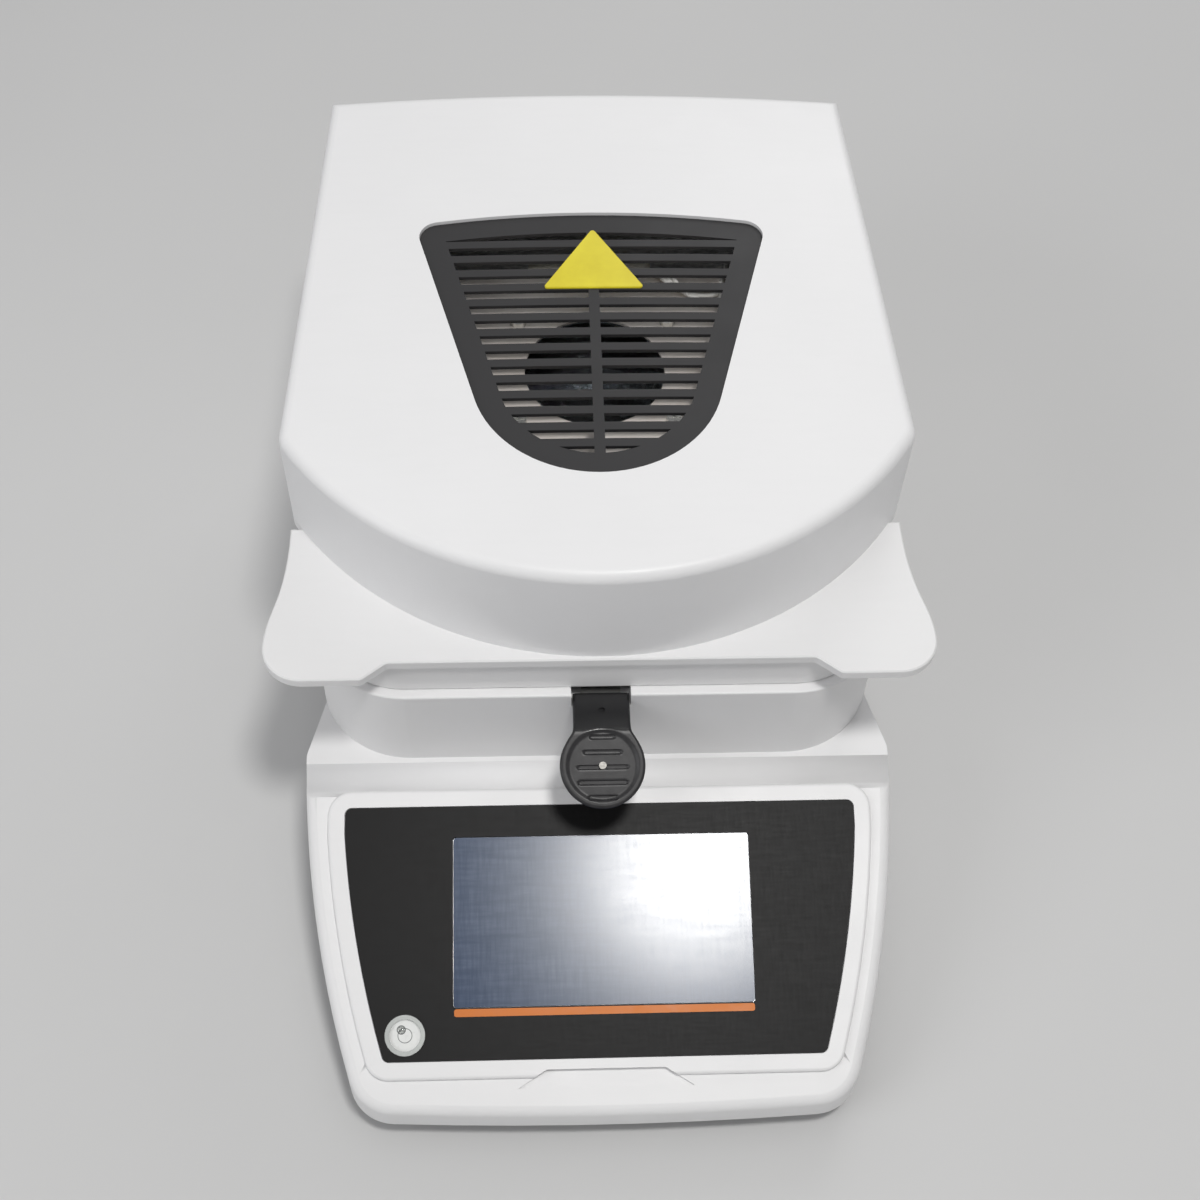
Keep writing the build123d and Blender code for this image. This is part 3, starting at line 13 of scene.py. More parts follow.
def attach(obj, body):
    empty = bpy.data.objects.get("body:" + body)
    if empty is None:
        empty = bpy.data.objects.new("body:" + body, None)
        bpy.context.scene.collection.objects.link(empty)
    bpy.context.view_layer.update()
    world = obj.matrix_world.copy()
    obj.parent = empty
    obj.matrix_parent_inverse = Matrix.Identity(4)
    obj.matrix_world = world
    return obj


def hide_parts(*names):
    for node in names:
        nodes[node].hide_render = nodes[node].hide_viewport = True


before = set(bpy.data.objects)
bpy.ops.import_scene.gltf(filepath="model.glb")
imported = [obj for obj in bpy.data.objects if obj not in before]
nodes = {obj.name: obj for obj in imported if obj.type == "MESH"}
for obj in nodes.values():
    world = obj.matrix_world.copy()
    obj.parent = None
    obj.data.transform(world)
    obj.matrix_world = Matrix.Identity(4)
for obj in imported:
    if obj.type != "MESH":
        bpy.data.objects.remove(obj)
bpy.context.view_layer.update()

MM = 0.001

# Sloped panel, as in the solids
PANEL_TILT = math.radians(18.4)
PANEL_ORIGIN = Vector((0, -117.7, 47.0)) * MM
OVERLAY_TOP = -0.3
LEVEL_SPOT = Vector((-70.7, -39.4))
panel = Matrix.Translation(PANEL_ORIGIN) @ Matrix.Rotation(PANEL_TILT, 4, "X") @ Matrix.Scale(MM, 4)
upright = Matrix.Scale(MM, 4)

# Chamber and hood
CHAMBER_Y = 51.0
GRILLE_TOP = 168.8
LAMP_RADIUS = 54.0
LAMP_Z = 131.0
LAMP_SWEEP = math.radians(324)
PLATE_TOP = 151.0

# Rear sockets
REAR_Y = 175.0
PORT_Z = 46.0

# Places in the frame, in metres, where one solid shows two materials
BOARD_FACE_Z = 0.0223
FUSE_MIDDLE_X = -0.062
FUSE_CAP_X = 0.0062
STUD_FOOT_Z = 0.00905


def put(mat, kind, inputs=None, **props):
    """Adds a shader node with its properties and its input values or links."""
    node = mat.node_tree.nodes.new(kind)
    for name, value in props.items():
        setattr(node, name, value)
    for name, value in (inputs or {}).items():
        if isinstance(value, bpy.types.NodeSocket):
            mat.node_tree.links.new(value, node.inputs[name])
        else:
            node.inputs[name].default_value = value
    return node


def point(mat, stretch=(1, 1, 1)):
    """Coordinates in the frame, stretched along the axes."""
    place = put(mat, "ShaderNodeTexCoord").outputs["Object"]
    if stretch == (1, 1, 1):
        return place
    return put(mat, "ShaderNodeMapping", {"Vector": place, "Scale": stretch}).outputs["Vector"]


def noise(mat, scale, detail=3.0, stretch=(1, 1, 1)):
    """Soft random pattern; scale is in features per metre."""
    inputs = {"Vector": point(mat, stretch), "Scale": scale, "Detail": detail, "Roughness": 0.6}
    return put(mat, "ShaderNodeTexNoise", inputs).outputs["Fac"]


def spread(mat, value, low, high, to_low=0.0, to_high=1.0):
    """Maps low..high of a value to to_low..to_high, cut off at both ends."""
    inputs = {"Value": value, "From Min": low, "From Max": high, "To Min": to_low, "To Max": to_high}
    return put(mat, "ShaderNodeMapRange", inputs).outputs["Result"]


def math_node(mat, operation, first, second):
    """One arithmetic step on two values."""
    node = put(mat, "ShaderNodeMath", operation=operation)
    for socket, value in zip(node.inputs, (first, second)):
        if isinstance(value, bpy.types.NodeSocket):
            mat.node_tree.links.new(value, socket)
        else:
            socket.default_value = value
    return node.outputs["Value"]


def mixed(mat, share, first, second):
    """Colour between first and second."""
    inputs = {"Fac": share, "Color1": first, "Color2": second}
    return put(mat, "ShaderNodeMixRGB", inputs).outputs["Color"]


def rgba(colour):
    """Colour with full opacity."""
    return (*colour, 1.0)


def tinted(colour, factor):
    """The same colour made lighter or darker."""
    return rgba([min(1.0, channel * factor) for channel in colour])


def shader(name, **sockets):
    """New material with values on its shader's own sockets."""
    mat = bpy.data.materials.new(name)
    mat.use_nodes = True
    bsdf = mat.node_tree.nodes["Principled BSDF"]
    for socket, value in sockets.items():
        bsdf.inputs[socket.replace("_", " ")].default_value = value
    return mat, bsdf


def drive(mat, bsdf, socket, value):
    """Links a worked-out value to a socket of the shader."""
    mat.node_tree.links.new(value, bsdf.inputs[socket])


def bumped(mat, bsdf, height, distance, strength=0.5):
    """Small relief from a height pattern; distance is its depth in metres."""
    inputs = {"Height": height, "Distance": distance, "Strength": strength}
    drive(mat, bsdf, "Normal", put(mat, "ShaderNodeBump", inputs).outputs["Normal"])


def moulded(name, colour, roughness=0.45, grain=2600.0, depth=0.00004, specks=0.06, coat=0.0):
    """Moulded plastic: a faint grain, slow changes of tone, and a few handling marks."""
    mat, bsdf = shader(name, IOR=1.47, Coat_Weight=coat, Coat_Roughness=0.25)
    tone = spread(mat, noise(mat, 9.0), 0.3, 0.7)
    marks = spread(mat, noise(mat, 420.0, 4.0), 0.70, 0.80, 0.0, specks)
    wiped = spread(mat, noise(mat, 60.0, 4.0, (1, 6, 1)), 0.45, 0.75, 0.0, specks / 2)
    plain = mixed(mat, tone, tinted(colour, 0.985), tinted(colour, 1.015))
    dirt = math_node(mat, "ADD", marks, wiped)
    drive(mat, bsdf, "Base Color", mixed(mat, dirt, plain, tinted(colour, 0.72)))
    shine = spread(mat, noise(mat, 35.0, 4.0), 0.3, 0.7, roughness - 0.05, roughness + 0.06)
    drive(mat, bsdf, "Roughness", shine)
    bumped(mat, bsdf, noise(mat, grain, 2.0), depth)
    return mat


def sheet_metal(name, colour, roughness=0.3, stretch=(1, 30, 1), scale=180.0, depth=0.00002):
    """Rolled or brushed metal with fine lines along one axis and duller patches."""
    mat, bsdf = shader(name, Metallic=1.0)
    lines = noise(mat, scale, 4.0, stretch)
    patches = spread(mat, noise(mat, 25.0, 4.0), 0.35, 0.7)
    plain = mixed(mat, lines, tinted(colour, 0.88), tinted(colour, 1.08))
    drive(mat, bsdf, "Base Color", mixed(mat, patches, plain, tinted(colour, 0.9)))
    from_lines = spread(mat, lines, 0.2, 0.8, 0.0, 0.12)
    from_patches = spread(mat, patches, 0.0, 1.0, 0.0, 0.08)
    shine = math_node(mat, "ADD", from_lines, from_patches)
    drive(mat, bsdf, "Roughness", math_node(mat, "ADD", shine, roughness - 0.08))
    bumped(mat, bsdf, lines, depth, 0.4)
    return mat


def turned_metal(name, colour, roughness=0.25):
    """Small turned or pressed metal piece."""
    return sheet_metal(name, colour, roughness, (1, 1, 8), 900.0, 0.00001)


def rubber(name, colour):
    """Matt rubber with a pebbled surface and pale dust."""
    mat, bsdf = shader(name)
    dust = spread(mat, noise(mat, 160.0, 5.0), 0.5, 0.8, 0.0, 0.25)
    drive(mat, bsdf, "Base Color", mixed(mat, dust, rgba(colour), rgba((0.30, 0.29, 0.27))))
    drive(mat, bsdf, "Roughness", spread(mat, noise(mat, 90.0), 0.3, 0.7, 0.7, 0.9))
    bumped(mat, bsdf, noise(mat, 1500.0), 0.0001)
    return mat


def clear(name, colour, roughness=0.02, smudge=0.08):
    """Clear glass with faint smudges."""
    mat, bsdf = shader(name, Transmission_Weight=1.0, IOR=1.47)
    film = spread(mat, noise(mat, 70.0, 5.0, (1, 2, 1)), 0.45, 0.8, roughness, roughness + smudge)
    drive(mat, bsdf, "Roughness", film)
    haze = spread(mat, noise(mat, 12.0), 0.3, 0.8)
    drive(mat, bsdf, "Base Color", mixed(mat, haze, rgba(colour), tinted(colour, 0.93)))
    return mat


def axis_value(mat, axis):
    """One coordinate in the frame, in metres."""
    split = put(mat, "ShaderNodeSeparateXYZ", {"Vector": point(mat)})
    return split.outputs[axis]


def dress(material, *names):
    """Gives CAD nodes a material."""
    for name in names:
        mesh = nodes[name].data
        mesh.materials.clear()
        mesh.materials.append(material)


def each_corner(stem):
    """Names of one piece of all four feet."""
    return [f"{stem}_{end}_{side}" for end in ("front", "rear") for side in ("left", "right")]


WHITE = (0.81, 0.808, 0.812)
CHARCOAL = (0.027, 0.0265, 0.028)
STEEL = (0.62, 0.62, 0.61)

white_shell = moulded("white_shell", WHITE, 0.42)
white_hood = moulded("white_hood", (0.82, 0.82, 0.828), 0.40)
grille_black = moulded("grille_black", CHARCOAL, 0.52, grain=1800.0, depth=0.00006, specks=0.10)
tray_grey = moulded("tray_grey", (0.10, 0.10, 0.105), 0.6)
socket_black = moulded("socket_black", (0.022, 0.022, 0.024), 0.5)
rocker_black = moulded("rocker_black", (0.02, 0.02, 0.022), 0.28, depth=0.00001)
grip_black = moulded("grip_black", (0.030, 0.029, 0.031), 0.40, grain=2200.0, specks=0.2)
ceramic = moulded("ceramic", (0.74, 0.71, 0.63), 0.75, grain=1500.0, depth=0.00008)
satin_steel = sheet_metal("satin_steel", STEEL, 0.30)
zinc = turned_metal("zinc", (0.66, 0.66, 0.64), 0.28)
hinge_steel = sheet_metal("hinge_steel", (0.56, 0.56, 0.57), 0.32, (30, 1, 1))
bright_reflector = sheet_metal("bright_reflector", (0.86, 0.86, 0.87), 0.12, (1, 1, 10))
milled_aluminium = sheet_metal("milled_aluminium", (0.72, 0.73, 0.74), 0.3, (24, 1, 1), 260.0)
pan_aluminium = sheet_metal("pan_aluminium", (0.84, 0.845, 0.85), 0.24, (1, 1, 1), 240.0)
nickel = turned_metal("nickel", (0.66, 0.64, 0.60), 0.22)
brass = turned_metal("brass", (0.70, 0.52, 0.24), 0.25)
foot_rubber = rubber("foot_rubber", (0.02, 0.02, 0.02))
strip_rubber = rubber("strip_rubber", (0.06, 0.06, 0.062))
heat_glass = clear("heat_glass", (0.86, 0.90, 0.93), 0.02)
lamp_quartz = clear("lamp_quartz", (0.96, 0.96, 0.95), 0.02)


def coated_plate():
    """Heat plate: sheet steel with a dull warm-grey heat-proof coat and rolling lines."""
    mat, bsdf = shader("coated_plate", IOR=1.5)
    lines = noise(mat, 140.0, 4.0, (1, 24, 1))
    baked = spread(mat, noise(mat, 30.0, 4.0), 0.4, 0.8)
    plain = mixed(mat, lines, rgba((0.84, 0.79, 0.745)), rgba((0.93, 0.88, 0.84)))
    drive(mat, bsdf, "Base Color", mixed(mat, baked, plain, rgba((0.74, 0.66, 0.59))))
    drive(mat, bsdf, "Roughness", spread(mat, lines, 0.2, 0.8, 0.38, 0.52))
    bumped(mat, bsdf, lines, 0.00002, 0.4)
    return mat


def film_black():
    """Printed black film: fine wipe lines that catch the lamp."""
    mat, bsdf = shader("film_black", IOR=1.46, Specular_IOR_Level=0.2)
    lines = noise(mat, 120.0, 5.0, (1, 8, 1))
    crossing = noise(mat, 150.0, 5.0, (9, 1, 1))
    wiped = math_node(mat, "MULTIPLY", lines, crossing)
    film = mixed(mat, wiped, rgba((0.003, 0.003, 0.0035)), rgba((0.012, 0.0112, 0.0108)))
    drive(mat, bsdf, "Base Color", film)
    drive(mat, bsdf, "Roughness", spread(mat, wiped, 0.1, 0.45, 0.42, 0.50))
    bumped(mat, bsdf, noise(mat, 3200.0, 2.0), 0.00002, 0.35)
    return mat


def dark_screen():
    """Switched-off display behind glass: blue-grey, with faint wipe marks."""
    mat, bsdf = shader("dark_screen", IOR=1.45)
    across = noise(mat, 60.0, 6.0, (1, 10, 1))
    down = noise(mat, 90.0, 6.0, (12, 1, 1))
    weave = math_node(mat, "MULTIPLY", across, down)
    marks = spread(mat, weave, 0.16, 0.42)
    blue = mixed(mat, marks, rgba((0.018, 0.042, 0.096)), rgba((0.032, 0.061, 0.126)))
    drive(mat, bsdf, "Base Color", blue)
    drive(mat, bsdf, "Roughness", spread(mat, weave, 0.12, 0.45, 0.19, 0.23))
    return mat


def board():
    """Circuit board: green lacquer with faint tracks below, dark components above it."""
    mat, bsdf = shader("board", Roughness=0.4)
    tracks = put(mat, "ShaderNodeTexBrick", {"Vector": point(mat), "Scale": 90.0, "Mortar Size": 0.03})
    tracks.inputs["Color1"].default_value = rgba((0.015, 0.16, 0.07))
    tracks.inputs["Color2"].default_value = rgba((0.02, 0.19, 0.085))
    tracks.inputs["Mortar"].default_value = rgba((0.04, 0.30, 0.14))
    above = spread(mat, axis_value(mat, "Z"), BOARD_FACE_Z, BOARD_FACE_Z + 0.0001)
    drive(mat, bsdf, "Base Color", mixed(mat, above, tracks.outputs["Color"], rgba((0.03, 0.03, 0.035))))
    return mat


def capped_fuse():
    """Glass fuse with metal caps at both ends."""
    mat, bsdf = shader("capped_fuse", IOR=1.5)
    from_middle = math_node(mat, "SUBTRACT", axis_value(mat, "X"), FUSE_MIDDLE_X)
    cap = spread(mat, math_node(mat, "ABSOLUTE", from_middle, 0.0), FUSE_CAP_X, FUSE_CAP_X + 0.0001)
    drive(mat, bsdf, "Metallic", cap)
    drive(mat, bsdf, "Base Color", mixed(mat, cap, rgba((0.80, 0.83, 0.83)), rgba((0.70, 0.69, 0.66))))
    drive(mat, bsdf, "Roughness", spread(mat, noise(mat, 500.0), 0.3, 0.7, 0.12, 0.3))
    return mat


def studded_wheel():
    """Knurled plastic wheel whose stud above is plated steel."""
    mat, bsdf = shader("studded_wheel", IOR=1.47)
    stud = spread(mat, axis_value(mat, "Z"), STUD_FOOT_Z, STUD_FOOT_Z + 0.00005)
    drive(mat, bsdf, "Metallic", stud)
    drive(mat, bsdf, "Base Color", mixed(mat, stud, rgba((0.02, 0.02, 0.021)), rgba((0.6, 0.6, 0.58))))
    drive(mat, bsdf, "Roughness", spread(mat, noise(mat, 300.0), 0.3, 0.7, 0.42, 0.58))
    thread = put(mat, "ShaderNodeTexWave", {"Vector": point(mat), "Scale": 320.0}, bands_direction="Z")
    grain = noise(mat, 2400.0)
    height = mixed(mat, stud, grain, thread.outputs["Color"])
    bumped(mat, bsdf, height, 0.0001, 0.5)
    return mat


dress(white_shell, "housing", "hood_frame")
dress(white_hood, "hood_cover")
dress(grille_black, "vent_grille")
dress(tray_grey, "base_tray")
dress(socket_black, "power_inlet", "switch_frame", "fuse_drawer")
dress(rocker_black, "switch_rocker")
dress(grip_black, "lifter_grip")
dress(ceramic, "lamp_holders")
dress(satin_steel, "chamber_liner", "wind_shield", "lifter_plate", "pan_support", "spindle")
dress(satin_steel, "glass_retainer", "display_bracket", "temperature_sensor")
dress(zinc, "tray_screws", "bracket_screws", "inlet_screws", "board_screws", "plate_screws")
dress(zinc, "hood_hinge_screws", "base_hinge_screws", "cover_screws", "plate_standoffs")
dress(hinge_steel, "base_hinges", "hood_hinges", "hinge_pins")
dress(coated_plate(), "heat_plate")
dress(bright_reflector, "reflector")
dress(milled_aluminium, "load_cell", "cell_mount", "display_module")
dress(pan_aluminium, "sample_pan")
dress(nickel, "serial_port", "usb_port", "grip_rivets")
dress(brass, "foot_inserts", "board_standoffs")
dress(foot_rubber, *each_corner("foot_pad"))
dress(strip_rubber, "rim_strips")
dress(studded_wheel(), *each_corner("foot_wheel"))
dress(heat_glass, "chamber_glass")
dress(lamp_quartz, "halogen_lamp")
dress(film_black(), "panel_overlay")
dress(dark_screen(), "touch_glass")
dress(board(), "control_board", "power_board")
dress(capped_fuse(), "fuse")


def link(name, mesh, material, body):
    """Puts a mesh into the scene as a piece that rides on a body."""
    piece = bpy.data.objects.new(name, mesh)
    bpy.context.scene.collection.objects.link(piece)
    mesh.materials.append(material)
    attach(piece, body)
    return piece


def mesh_of(name, bm):
    """Finished mesh of a bmesh, with smooth faces where they turn gently."""
    mesh = bpy.data.meshes.new(name)
    bmesh.ops.recalc_face_normals(bm, faces=bm.faces)
    bm.to_mesh(mesh)
    bm.free()
    mesh.shade_smooth()
    mesh.set_sharp_from_angle(angle=math.radians(35))
    return mesh


def prism(outline, low, high):
    """Outline in millimetres, raised from one level to another."""
    bm = bmesh.new()
    base = bm.faces.new([bm.verts.new((x, y, low)) for x, y in outline])
    top = bmesh.ops.extrude_face_region(bm, geom=[base])
    raised = [v for v in top["geom"] if isinstance(v, bmesh.types.BMVert)]
    bmesh.ops.translate(bm, verts=raised, vec=(0, 0, high - low))
    return bm


def slab(name, outline, low, high, place, round_by, material, body, slot):
    """Flat plate from an outline, between two levels, with rounded upper edges."""
    bm = prism(outline, low, high)
    upper = [e for e in bm.edges if all(abs(v.co.z - high) < 1e-6 for v in e.verts)]
    bmesh.ops.bevel(bm, geom=upper, offset=round_by, segments=3, affect="EDGES")
    bmesh.ops.transform(bm, matrix=place, verts=bm.verts)
    return link(name, mesh_of(name, bm), material, body)


def rounded(corners, radius, steps=6):
    """Polygon outline with its corners rounded by arcs."""
    outline = []
    count = len(corners)
    for index, corner in enumerate(corners):
        here = Vector(corner)
        back = (Vector(corners[index - 1]) - here).normalized()
        ahead = (Vector(corners[(index + 1) % count]) - here).normalized()
        half = back.angle(ahead) / 2
        reach = radius / math.tan(half)
        centre = here + (back + ahead).normalized() * radius / math.sin(half)
        first = here + back * reach - centre
        last = here + ahead * reach - centre
        turn = first.angle_signed(last)
        for step in range(steps + 1):
            outline.append(centre + Matrix.Rotation(-turn * step / steps, 2) @ first)
    return outline


def rectangle(half_x, low_y, high_y, radius):
    """Outline of a rectangle about the middle line, with rounded corners."""
    return rounded([(-half_x, low_y), (half_x, low_y), (half_x, high_y), (-half_x, high_y)], radius)


def ring(name, centre, inner, outer, low, high, place, material, body, slot, parts=48):
    """Flat ring between two radii."""
    bm = bmesh.new()
    turns = [2 * math.pi * step / parts for step in range(parts)]
    loops = []
    for radius, level in ((outer, low), (outer, high), (inner, high), (inner, low)):
        spots = [(centre[0] + radius * math.cos(t), centre[1] + radius * math.sin(t)) for t in turns]
        loops.append([bm.verts.new((x, y, level)) for x, y in spots])
    for first, second in zip(loops, loops[1:] + loops[:1]):
        for step in range(parts):
            after = (step + 1) % parts
            bm.faces.new((first[step], first[after], second[after], second[step]))
    bmesh.ops.transform(bm, matrix=place, verts=bm.verts)
    return link(name, mesh_of(name, bm), material, body)


def dome(name, centre, radius, low, height, place, material, body):
    """Flattened half ball, rounded side up, on a level."""
    bm = bmesh.new()
    bmesh.ops.create_uvsphere(bm, u_segments=32, v_segments=16, radius=1.0)
    lower = [v for v in bm.verts if v.co.z < -1e-4]
    bmesh.ops.delete(bm, geom=lower, context="VERTS")
    bmesh.ops.holes_fill(bm, edges=bm.edges)
    shape = Matrix.Translation((centre[0], centre[1], low)) @ Matrix.Diagonal((radius, radius, height, 1))
    bmesh.ops.transform(bm, matrix=place @ shape, verts=bm.verts)
    return link(name, mesh_of(name, bm), material, body)


def wire(name, points, radius, material, body):
    """Round wire through points in millimetres."""
    curve = bpy.data.curves.new(name, "CURVE")
    curve.dimensions = "3D"
    curve.bevel_depth = radius * MM
    curve.bevel_resolution = 4
    curve.use_fill_caps = True
    spline = curve.splines.new("NURBS")
    spline.points.add(len(points) - 1)
    for knot, place in zip(spline.points, points):
        knot.co = (*(Vector(place) * MM), 1.0)
    spline.order_u = 3
    spline.use_endpoint_u = True
    curve.materials.append(material)
    piece = bpy.data.objects.new(name, curve)
    bpy.context.scene.collection.objects.link(piece)
    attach(piece, body)
    return piece


# Panel trim: a plain orange line under the display, and the bubble level
def trim_orange():
    """Printed orange line, slightly uneven as screen print is."""
    mat, bsdf = shader("trim_orange", IOR=1.46, Specular_IOR_Level=0.3)
    uneven = noise(mat, 240.0, 4.0)
    drive(mat, bsdf, "Base Color", mixed(mat, uneven, rgba((0.58, 0.150, 0.010)), rgba((0.68, 0.190, 0.016))))
    drive(mat, bsdf, "Roughness", spread(mat, uneven, 0.3, 0.7, 0.32, 0.42))
    return mat


LINE_HALF = 53.4
LINE_LOW = -33.4
LINE_HIGH = -30.7
PRINT_SINK = 0.02
PRINT_RISE = 0.06
slab(
    "display_line", rectangle(LINE_HALF, LINE_LOW, LINE_HIGH, 0.8),
    OVERLAY_TOP - PRINT_SINK, OVERLAY_TOP + PRINT_RISE, panel, 0.03, trim_orange(), "base", "overlay_black",
)


def level_white():
    """Milky back of the level with a soft silver sheen."""
    mat, bsdf = shader("level_white", IOR=1.5, Coat_Weight=0.6, Coat_Roughness=0.05)
    cloud = noise(mat, 300.0)
    drive(mat, bsdf, "Base Color", mixed(mat, cloud, rgba((0.74, 0.75, 0.74)), rgba((0.82, 0.83, 0.81))))
    drive(mat, bsdf, "Roughness", spread(mat, cloud, 0.3, 0.7, 0.25, 0.35))
    return mat


dress(level_white(), "level_vial")
dress(turned_metal("level_rim", (0.26, 0.27, 0.265), 0.42), "level_ring")
# Grey for the printed circle on the level and for the painted shade ring round its bubble.
print_and_shade_grey = moulded("print_and_shade_grey", (0.16, 0.17, 0.17), 0.4)
level_glass = clear("level_glass", (0.97, 0.98, 0.97), 0.01, 0.02)
LEVEL_MARK = (2.35, 2.6)
# Radii of the painted shade ring that stands for the dark edge of the bubble.
BUBBLE_SHADE_RING = (1.25, 1.6)
BUBBLE_RADIUS = 1.3
BUBBLE_RISE = 0.35
bubble_spot = LEVEL_SPOT + Vector((-1.3, 2.0))
ring(
    "level_mark", LEVEL_SPOT, *LEVEL_MARK, OVERLAY_TOP, OVERLAY_TOP + 0.05,
    panel, print_and_shade_grey, "base", "ring_steel",
)
# Painted shade: a grey ring stands in for the dark outline that light gives the edge of the bubble.
ring(
    "level_bubble_painted_outline", bubble_spot, *BUBBLE_SHADE_RING, OVERLAY_TOP, OVERLAY_TOP + PRINT_RISE,
    panel, print_and_shade_grey, "base", "vial_clear",
)
dome(
    "level_bubble", bubble_spot, BUBBLE_RADIUS, OVERLAY_TOP, BUBBLE_RISE,
    panel, level_glass, "base",
)


# Bare yellow plate on the grille
def sign_yellow():
    """Lacquered yellow sheet, a little darker where it has been touched."""
    mat, bsdf = shader("sign_yellow", IOR=1.5, Coat_Weight=0.3, Coat_Roughness=0.2)
    touched = spread(mat, noise(mat, 90.0, 4.0), 0.35, 0.75)
    drive(mat, bsdf, "Base Color", mixed(mat, touched, rgba((0.74, 0.64, 0.010)), rgba((0.66, 0.55, 0.010))))
    drive(mat, bsdf, "Roughness", spread(mat, touched, 0, 1, 0.35, 0.5))
    bumped(mat, bsdf, noise(mat, 1600.0), 0.00002)
    return mat


SIGN_CORNERS = [(-18.6, 75.0), (18.6, 75.0), (0.4, 105.2)]
SIGN_SINK = 0.1
SIGN_RISE = 0.7
slab(
    "yellow_plate", rounded(SIGN_CORNERS, 1.0),
    GRILLE_TOP - SIGN_SINK, GRILLE_TOP + SIGN_RISE, upright, 0.25, sign_yellow(), "hood", "grille_plastic",
)

# Finger notch: the housing's own solid, with the lower edge of the panel frame cut through
NOTCH_POINTS = [(-30.9, -58.2), (30.9, -58.2), (20.9, -52.0), (-20.9, -52.0)]
NOTCH_FLOOR = -3.3
NOTCH_TOP = 4.0


def notched_housing():
    """Copy of the housing with a clear trapezoid notch under the overlay."""
    bm = prism(NOTCH_POINTS, NOTCH_FLOOR, NOTCH_TOP)
    bmesh.ops.transform(bm, matrix=panel, verts=bm.verts)
    bmesh.ops.recalc_face_normals(bm, faces=bm.faces)
    cutter_mesh = bpy.data.meshes.new("notch_cutter")
    bm.to_mesh(cutter_mesh)
    bm.free()
    cutter = bpy.data.objects.new("notch_cutter", cutter_mesh)
    shell = bpy.data.objects.new("housing_blank", nodes["housing"].data.copy())
    for part in (cutter, shell):
        bpy.context.scene.collection.objects.link(part)
    cut = shell.modifiers.new("cut", "BOOLEAN")
    cut.operation = "DIFFERENCE"
    cut.solver = "EXACT"
    cut.object = cutter
    bpy.context.view_layer.update()
    depsgraph = bpy.context.evaluated_depsgraph_get()
    carved = bpy.data.meshes.new_from_object(shell.evaluated_get(depsgraph))
    carved.name = "housing_notched"
    carved.materials.clear()
    bpy.data.objects.remove(shell)
    bpy.data.objects.remove(cutter)
    piece = link("housing_notched", carved, white_shell, "base")
    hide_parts("housing")


notched_housing()

# Vent grille: the solid's own shape, with its bars as thin as the real ones
GRILLE_HOLE = 35.1
GRILLE_HOLE_REAR = 104.5
GRILLE_ARC_Y = 33.5
GRILLE_SIDE = math.radians(15)
BAR_DEPTH = 1.5
CROWN_RADIUS = 2017.0


def in_grille_hole(x, y):
    """Whether a place lies in the barred middle of the grille."""
    forward = y - GRILLE_ARC_Y
    if forward < -GRILLE_HOLE * math.sin(GRILLE_SIDE):
        return math.hypot(x, forward) < GRILLE_HOLE
    reach = abs(x) * math.cos(GRILLE_SIDE) - forward * math.sin(GRILLE_SIDE)
    return reach < GRILLE_HOLE and y < GRILLE_HOLE_REAR


def thin_grille():
    """Grille whose bars end a short way below its crowned face."""
    mesh = nodes["vent_grille"].data.copy()
    mesh.name = "grille_insert"
    mesh.materials.clear()
    for vertex in mesh.vertices:
        x, y, z = vertex.co / MM
        face = GRILLE_TOP - CROWN_RADIUS + math.sqrt(CROWN_RADIUS**2 - x**2)
        if in_grille_hole(x, y) and z < face - BAR_DEPTH:
            vertex.co.z = (face - BAR_DEPTH) * MM
    piece = link("grille_insert", mesh, grille_black, "hood")
    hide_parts("vent_grille")


thin_grille()

# Grip of the lifter: a neck that bends down into a dished, grooved disc
GRIP_HALF = 10.0
GRIP_BACK = -55.4
GRIP_BEND = -71.0
GRIP_TOP = 100.6
GRIP_THICK = 4.2
GRIP_TILT = math.radians(28)
GRIP_DISC = 15.0
BEND_AT = GRIP_BACK - GRIP_BEND
DISC_AT = BEND_AT + 12.0
BEND_SPREAD = 1.6
DISH_DEPTH = 0.6
DISH_EDGE = (11.4, 13.2)
GROOVE_LENGTHS = (9.0, 13.5, 18.0, 17.6, 10.7)
GROOVE_PITCH = 5.3
GROOVE_HALF = 0.85
GROOVE_DEPTH = 0.5
EDGE_ROUND = 1.1
NECK_BLEND = 1.8
NECK_ROWS = 8
BEND_ROWS = 42
TIP_ROWS = 64
COLUMNS = 84


def ease(value, low, high):
    """Smooth step from 0 at low to 1 at high."""
    share = min(1.0, max(0.0, (value - low) / (high - low)))
    return share * share * (3 - 2 * share)


def grip_half(along):
    """Half width of the grip at a distance along it: neck, blend and disc."""
    disc = math.sqrt(max(0.0, GRIP_DISC**2 - (along - DISC_AT) ** 2))
    if along >= DISC_AT:
        return disc
    blend = NECK_BLEND * (1 - ease(along, BEND_AT, DISC_AT - 3))
    return (GRIP_HALF + disc + math.sqrt((GRIP_HALF - disc) ** 2 + blend**2)) / 2


def grip_relief(across, along, half):
    """Height of the grip's face under its flat: rounded edge, dish and grooves."""
    radial = math.hypot(across, along - DISC_AT)
    edge = half - abs(across)
    if along > DISC_AT:
        edge = min(edge, GRIP_DISC - radial)
    short = max(0.0, EDGE_ROUND - edge)
    height = math.sqrt(max(0.0, EDGE_ROUND**2 - short**2)) - EDGE_ROUND
    height -= DISH_DEPTH * (1 - ease(radial, *DISH_EDGE))
    for row, length in enumerate(GROOVE_LENGTHS):
        beyond = max(0.0, abs(across) - length / 2 + GROOVE_HALF)
        near = math.hypot(beyond, along - BEND_AT - 2.0 - row * GROOVE_PITCH)
        height -= GROOVE_DEPTH * (1 - ease(near, GROOVE_HALF - 0.3, GROOVE_HALF + 0.1))
    return height


